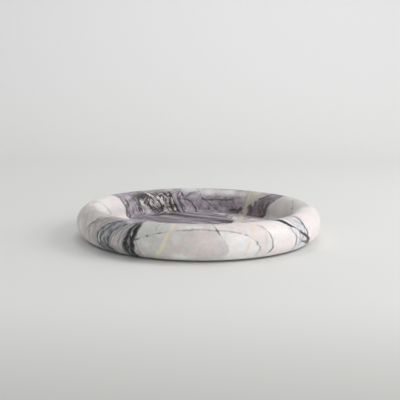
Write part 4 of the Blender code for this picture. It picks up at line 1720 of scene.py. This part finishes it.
@dataclass(frozen=True)
class Block:
    """The colours of the whole block: clouds of tone, and nets of veins that mostly face the viewer."""

    fold: Cloud = Cloud(75.0)
    fold_reach: float = 70.0
    stretch: Point = (1.0, 0.42, 0.6)
    wide_cloud: Cloud = Cloud(42.0, 3.0, 0.55)
    small_cloud: Cloud = Cloud(19.0, 3.0, 0.6)
    pearl_levels: Span = (0.36, 0.62)
    blush_levels: Span = (0.52, 0.66)
    wide_cell_mm: float = 46.0
    haze_reach: Span = (0.16, 0.0)
    haze_levels: Span = (0.36, 0.6)
    straw_stretch: Point = (1.0, 0.35, 0.6)
    straw_cloud: Cloud = Cloud(60.0, 1.0)
    straw_level: float = 0.43
    straw_reach: Span = (0.008, 0.002)
    straw_cover: float = 0.8
    wide_swell: Span = (0.11, -0.05)
    wide_edge: float = 0.006
    fine_cell_mm: float = 17.0
    fine_swell: Span = (0.13, -0.066)
    fine_edge: float = 0.008
    fine_cover: float = 0.6

    def colour(self, ink: NodeWriter, bent: Socket) -> Socket:
        """Paints the block.

        Args:
            ink: Where the nodes are written.
            bent: The place in millimetres, bent a little.

        Returns:
            The colour.
        """
        drift = ink.vector_math("SCALE", ink.drift(bent, self.fold), scale=self.fold_reach)
        folded = ink.vector_math("ADD", bent, drift)
        laid = ink.vector_math("MULTIPLY", folded, self.stretch)
        wide_cloud = ink.noise(laid, self.wide_cloud)
        small_cloud = ink.noise(laid, self.small_cloud)
        colour = ink.mix(ink.step(wide_cloud, *self.pearl_levels), Tone.WARM_WHITE.value, Tone.PEARL.value)
        colour = ink.mix(ink.step(small_cloud, *self.blush_levels), colour, Tone.BLUSH.value)

        wide_gap = ink.cell_edges(laid, self.wide_cell_mm)
        near = ink.slope(wide_gap, *self.haze_reach)
        haze = ink.math("MULTIPLY", near, ink.step(small_cloud, *self.haze_levels))
        colour = ink.mix(haze, colour, Tone.LILAC.value)
        straw_cloud = ink.noise(ink.vector_math("MULTIPLY", folded, self.straw_stretch), self.straw_cloud)
        off_level = ink.math("ABSOLUTE", ink.math("SUBTRACT", straw_cloud, self.straw_level))
        straw = ink.math("MULTIPLY", ink.slope(off_level, *self.straw_reach), self.straw_cover)
        colour = ink.mix(straw, colour, Tone.AMBER.value)
        seam = self._seam(ink, wide_gap, wide_cloud, self.wide_swell, self.wide_edge)
        colour = ink.mix(seam, colour, Tone.SLATE.value)

        fine_gap = ink.cell_edges(laid, self.fine_cell_mm)
        fine = self._seam(ink, fine_gap, small_cloud, self.fine_swell, self.fine_edge)
        return ink.mix(ink.math("MULTIPLY", fine, self.fine_cover), colour, Tone.STEEL.value)

    def _seam(self, ink: NodeWriter, gap: Socket, cloud: Socket, swell: Span, edge: float) -> Socket:
        """Marks a net's veins, which are wide where a cloud is high and end where it is low."""
        width = ink.math("MULTIPLY_ADD", cloud, *swell)
        return ink.slope(ink.math("SUBTRACT", width, gap), -edge, edge)


@dataclass(frozen=True)
class HonedSurface:
    """The honed surface, in which fine crystals show."""

    crystals: Cloud = Cloud(1.6, 2.0, 0.7)
    crystal_shade: Span = (0.2, 0.90)
    mottle: Cloud = Cloud(6.0, 2.0, 0.6)
    mottle_shade: Span = (0.26, 0.87)
    mottle_roughness: Span = (0.24, 0.30)
    warmth: Cloud = Cloud(11.0, 3.0, 0.6)
    warmth_levels: Span = (0.4, 0.62)
    cool_tint: Colour = (0.965, 0.99, 1.0)
    warm_tint: Colour = (1.0, 0.965, 0.95)
    # Painted shade on the flat underside, which darkens the gap under the stone
    gap_shade_tint: Colour = (0.5, 0.5, 0.5)
    gap_shade_mm: Span = (2.14, 2.05)
    specular: float = 0.45
    relief: float = 0.00002

    def close(self, ink: Shader, place: Socket, colour: Socket) -> bpy.types.Material:
        """Adds the crystals and the painted shade of the underside, and closes the material.

        Args:
            ink: Where the nodes are written.
            place: The place in millimetres.
            colour: The colour of clouds and veins.

        Returns:
            The material.
        """
        crystals = ink.noise(place, self.crystals)
        mottle = ink.noise(place, self.mottle)
        grain = ink.math("MULTIPLY_ADD", crystals, *self.crystal_shade)
        grain = ink.math("MULTIPLY", grain, ink.math("MULTIPLY_ADD", mottle, *self.mottle_shade))
        warmth = ink.step(ink.noise(place, self.warmth), *self.warmth_levels)
        colour = ink.mix(1.0, colour, ink.mix(warmth, self.cool_tint, self.warm_tint), blend="MULTIPLY")
        colour = ink.mix(1.0, colour, ink.grey(grain), blend="MULTIPLY")
        # The flat underside is darkened with painted shade, which deepens the dark line of the gap under
        # the stone
        underside = ink.slope(ink.split(place).z, *self.gap_shade_mm)
        colour = ink.mix(underside, colour, self.gap_shade_tint, blend="MULTIPLY")
        roughness = ink.math("MULTIPLY_ADD", mottle, *self.mottle_roughness)
        return ink.surface(colour, roughness, self.specular, height=crystals, depth=self.relief)


@dataclass(frozen=True)
class Marble:
    """Paints the stone: its block, then what is seen of it in the photograph, and its honed surface."""

    veins: tuple[Vein, ...]
    places: Places = Places()
    block: Block = Block()
    surface: HonedSurface = HonedSurface()
    waver: Cloud = Cloud(12.0, 3.0, 0.55)
    waver_reach: float = 3.6
    next_to_nothing: float = 1e-7

    def build(self) -> bpy.types.Material:
        """Writes the material.

        Returns:
            The material.
        """
        ink = Shader("honed_marble")
        place = ink.vector_math("SCALE", ink.object_place(), scale=1 / MM)
        warp = ink.drift(place, self.waver)
        bent = ink.vector_math("ADD", place, ink.vector_math("SCALE", warp, scale=self.waver_reach))
        skin = self.places.skin(ink, bent, ink.split(warp))
        clouds = {vein: vein.cloud(ink, *self._way(ink, vein, skin))
                  for vein in self.veins if isinstance(vein, Grain)}
        colour = self.block.colour(ink, bent)
        late = ink.vector_math("DOT_PRODUCT", colour, (self.next_to_nothing,) * DIMENSIONS)
        skin = skin.after(ink, late)
        for vein in self.veins:
            colour = self._paint(ink, vein, skin, colour, clouds.get(vein))
        return self.surface.close(ink, place, colour)

    def _way(self, ink: Shader, vein: Vein, skin: Skin) -> tuple[Socket, Socket, Value]:
        """Picks the coordinates that a vein is placed by.

        Args:
            ink: Where the nodes are written.
            vein: The vein.
            skin: Where the point lies.

        Returns:
            The way along, the place across, and the millimetres in one unit across.
        """
        if vein.run is Run.ALONG_X:
            return skin.x, ink.math("MULTIPLY_ADD", skin.z, -vein.lean, skin.y), 1.0
        if vein.run is Run.ALONG_Y:
            return skin.y, ink.math("MULTIPLY_ADD", skin.z, -vein.lean, skin.x), 1.0
        azimuth = skin.azimuth if vein.run in (Run.UP_FRONT, Run.ROUND_FRONT) else skin.back_azimuth
        if vein.run in (Run.UP_FRONT, Run.UP_BACK):
            return skin.girth, azimuth, skin.mm_per_degree
        return azimuth, skin.girth, 1.0

    def _paint(self, ink: Shader, vein: Vein, skin: Skin, colour: Socket, cloud: Socket | None) -> Socket:
        """Lays one vein over the colour so far.

        Args:
            ink: Where the nodes are written.
            vein: The vein.
            skin: Where the point lies.
            colour: The colour so far.
            cloud: The random cloud, for a vein of random streaks.

        Returns:
            The new colour.
        """
        along, across, unit = self._way(ink, vein, skin)
        values = {"Along": along, "Across": across, "Unit": unit, "Uneven": skin.uneven, "Cloud": cloud,
                  "Colour": colour, "Zone": 1.0 if vein.zone is Zone.WHOLE else skin.zones[vein.zone]}
        return ink.group(vein.nodes(), values)


@dataclass(frozen=True)
class Felt:
    """Dense grey felt, pressed flat, with pale fibres among the dark ones."""

    colour: Colour = (0.16, 0.16, 0.17)
    pale_fibres: Colour = (0.30, 0.30, 0.31)
    fibres: Cloud = Cloud(0.35, 3.0, 0.7)
    flecks: Cloud = Cloud(0.9, 2.0, 0.6)
    fleck_levels: Span = (0.5, 0.68)
    roughness: float = 0.95
    specular: float = 0.2
    relief: float = 0.00015

    def build(self) -> bpy.types.Material:
        """Makes the material.

        Returns:
            The material.
        """
        ink = Shader("grey_felt")
        place = ink.vector_math("SCALE", ink.object_place(), scale=1 / MM)
        fibres = ink.noise(place, self.fibres)
        flecks = ink.step(ink.noise(place, self.flecks), *self.fleck_levels)
        colour = ink.mix(flecks, self.colour, self.pale_fibres)
        return ink.surface(colour, self.roughness, self.specular, height=fibres, depth=self.relief)


@dataclass(frozen=True)
class Glue:
    """The yellowish film that holds a pad."""

    colour: Colour = (0.62, 0.57, 0.44)
    roughness: float = 0.35

    def build(self) -> bpy.types.Material:
        """Makes the material."""
        return Shader("pad_adhesive").surface(self.colour, self.roughness)


@dataclass(frozen=True)
class StoneBody:
    """The stone: its turned shape, dressed in marble."""

    marble: Marble = Marble(painted())
    place: Point = (0.0, 0.0, 0.0)

    def build(self) -> None:
        """Adds the stone in the place of the CAD model's own."""
        low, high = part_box("tray_body")
        mesh = TurnedStone(Section(high.x, low.z, high.z)).build()
        body = add_piece("marble_body", mesh, self.marble.build(), Vector(self.place))
        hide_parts("tray_body")


@dataclass(frozen=True)
class FeltPads:
    """Four felt discs, each held under the stone by a thin film of glue."""

    places: tuple[str, ...] = ("front_left", "front_right", "rear_left", "rear_right")
    felt: Felt = Felt()
    glue: Glue = Glue()
    radius: float = 0.011
    thickness: float = 0.0017
    lower_rounding: float = 0.0005
    upper_rounding: float = 0.0002
    fuzz_depth: float = 0.0002
    fuzz_size: float = 0.0006
    film_inset: float = 0.0004
    film_clearance: float = 0.00002
    segments: int = 120
    rounding_steps: int = 5
    face_rings: int = 8
    tightness: float = 1.0

    def build(self) -> None:
        """Adds a pad and its film at the place of each pad of the CAD model."""
        felt, glue = self.felt.build(), self.glue.build()
        film_radius = self.radius - self.film_inset
        film_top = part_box("tray_body")[0].z - self.film_clearance
        film = [(film_radius, self.thickness + self.film_clearance), (film_radius, film_top)]
        for place in self.places:
            low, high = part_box("felt_pad_" + place)
            middle = Vector(((low.x + high.x) / 2, (low.y + high.y) / 2, 0))
            pad = add_piece("felt_disc_" + place, self._turned(self._section(), middle), felt, middle)
            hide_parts("felt_pad_" + place)
            add_piece("glue_film_" + place, self._turned(film, None), glue, middle)

    def _section(self) -> list[Span]:
        """Works out half the section of a pad, from its lower face up the side to its upper face.

        Returns:
            Pairs of radius and height.
        """
        points = [(self.radius * ring / self.face_rings, 0.0) for ring in range(1, self.face_rings)]
        for rounding, middle_z, start in (
            (self.lower_rounding, self.lower_rounding, -QUARTER_TURN),
            (self.upper_rounding, self.thickness - self.upper_rounding, 0.0),
        ):
            for step in range(self.rounding_steps + 1):
                angle = start + QUARTER_TURN * step / self.rounding_steps
                radius = self.radius - rounding + rounding * math.cos(angle)
                points.append((radius, middle_z + rounding * math.sin(angle)))
        return points + [(radius, self.thickness) for radius, _ in points[self.face_rings - 2::-1]]

    def _turned(self, section: list[Span], fuzz_place: Vector | None) -> bpy.types.Mesh:
        """Turns a section about its own upright axis and closes it at the axis.

        Args:
            section: Pairs of radius and height, from below to above.
            fuzz_place: Where the piece stands, if its sides are fuzzy.

        Returns:
            The mesh.
        """
        points = []
        for radius, z in section:
            for index in range(self.segments):
                angle = FULL_TURN * index / self.segments
                point = Vector((radius * math.cos(angle), radius * math.sin(angle), z))
                if fuzz_place is not None:
                    rough = HALF + HALF * noise.noise((point + fuzz_place) / self.fuzz_size)
                    share = max(0.0, radius / self.radius) ** self.face_rings
                    point.xy *= 1 - self.fuzz_depth * rough * share / self.radius
                points.append(point)
        bottom, top = len(points), len(points) + 1
        points += [Vector((0, 0, section[0][1])), Vector((0, 0, section[-1][1]))]
        last = len(section) - 1
        faces = []
        for index in range(self.segments):
            after = (index + 1) % self.segments
            faces.append((bottom, after, index))
            faces.append((top, last * self.segments + index, last * self.segments + after))
            for row in range(last):
                low, high = row * self.segments, (row + 1) * self.segments
                faces.append((low + index, low + after, high + after, high + index))
        mesh = bpy.data.meshes.new("turned_disc")
        mesh.from_pydata(points, [], faces)
        mesh.shade_smooth()
        mesh.set_sharp_from_angle(angle=SHARP_ANGLE)
        return mesh


def add_piece(name: str, mesh: bpy.types.Mesh, finish: bpy.types.Material,
              place: Vector) -> bpy.types.Object:
    """Puts a finished mesh in the scene, riding on the tray.

    Args:
        name: The piece's name.
        mesh: Its mesh.
        finish: Its material.
        place: Where it stands.

    Returns:
        The piece.
    """
    mesh.materials.append(finish)
    piece = bpy.data.objects.new(name, mesh)
    piece.location = place
    bpy.context.scene.collection.objects.link(piece)
    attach(piece, "root")
    log.info("%s: %d faces", name, len(mesh.polygons))
    return piece


def main() -> None:
    """Builds the tray and its studio, piece by piece."""
    logging.basicConfig(level=logging.INFO, format="%(name)s: %(message)s")
    PhotoCamera().build()
    Studio().build()
    StoneBody().build()
    FeltPads().build()
    bpy.context.scene.view_settings.view_transform = "Standard"


if __name__ == "__main__":
    main()
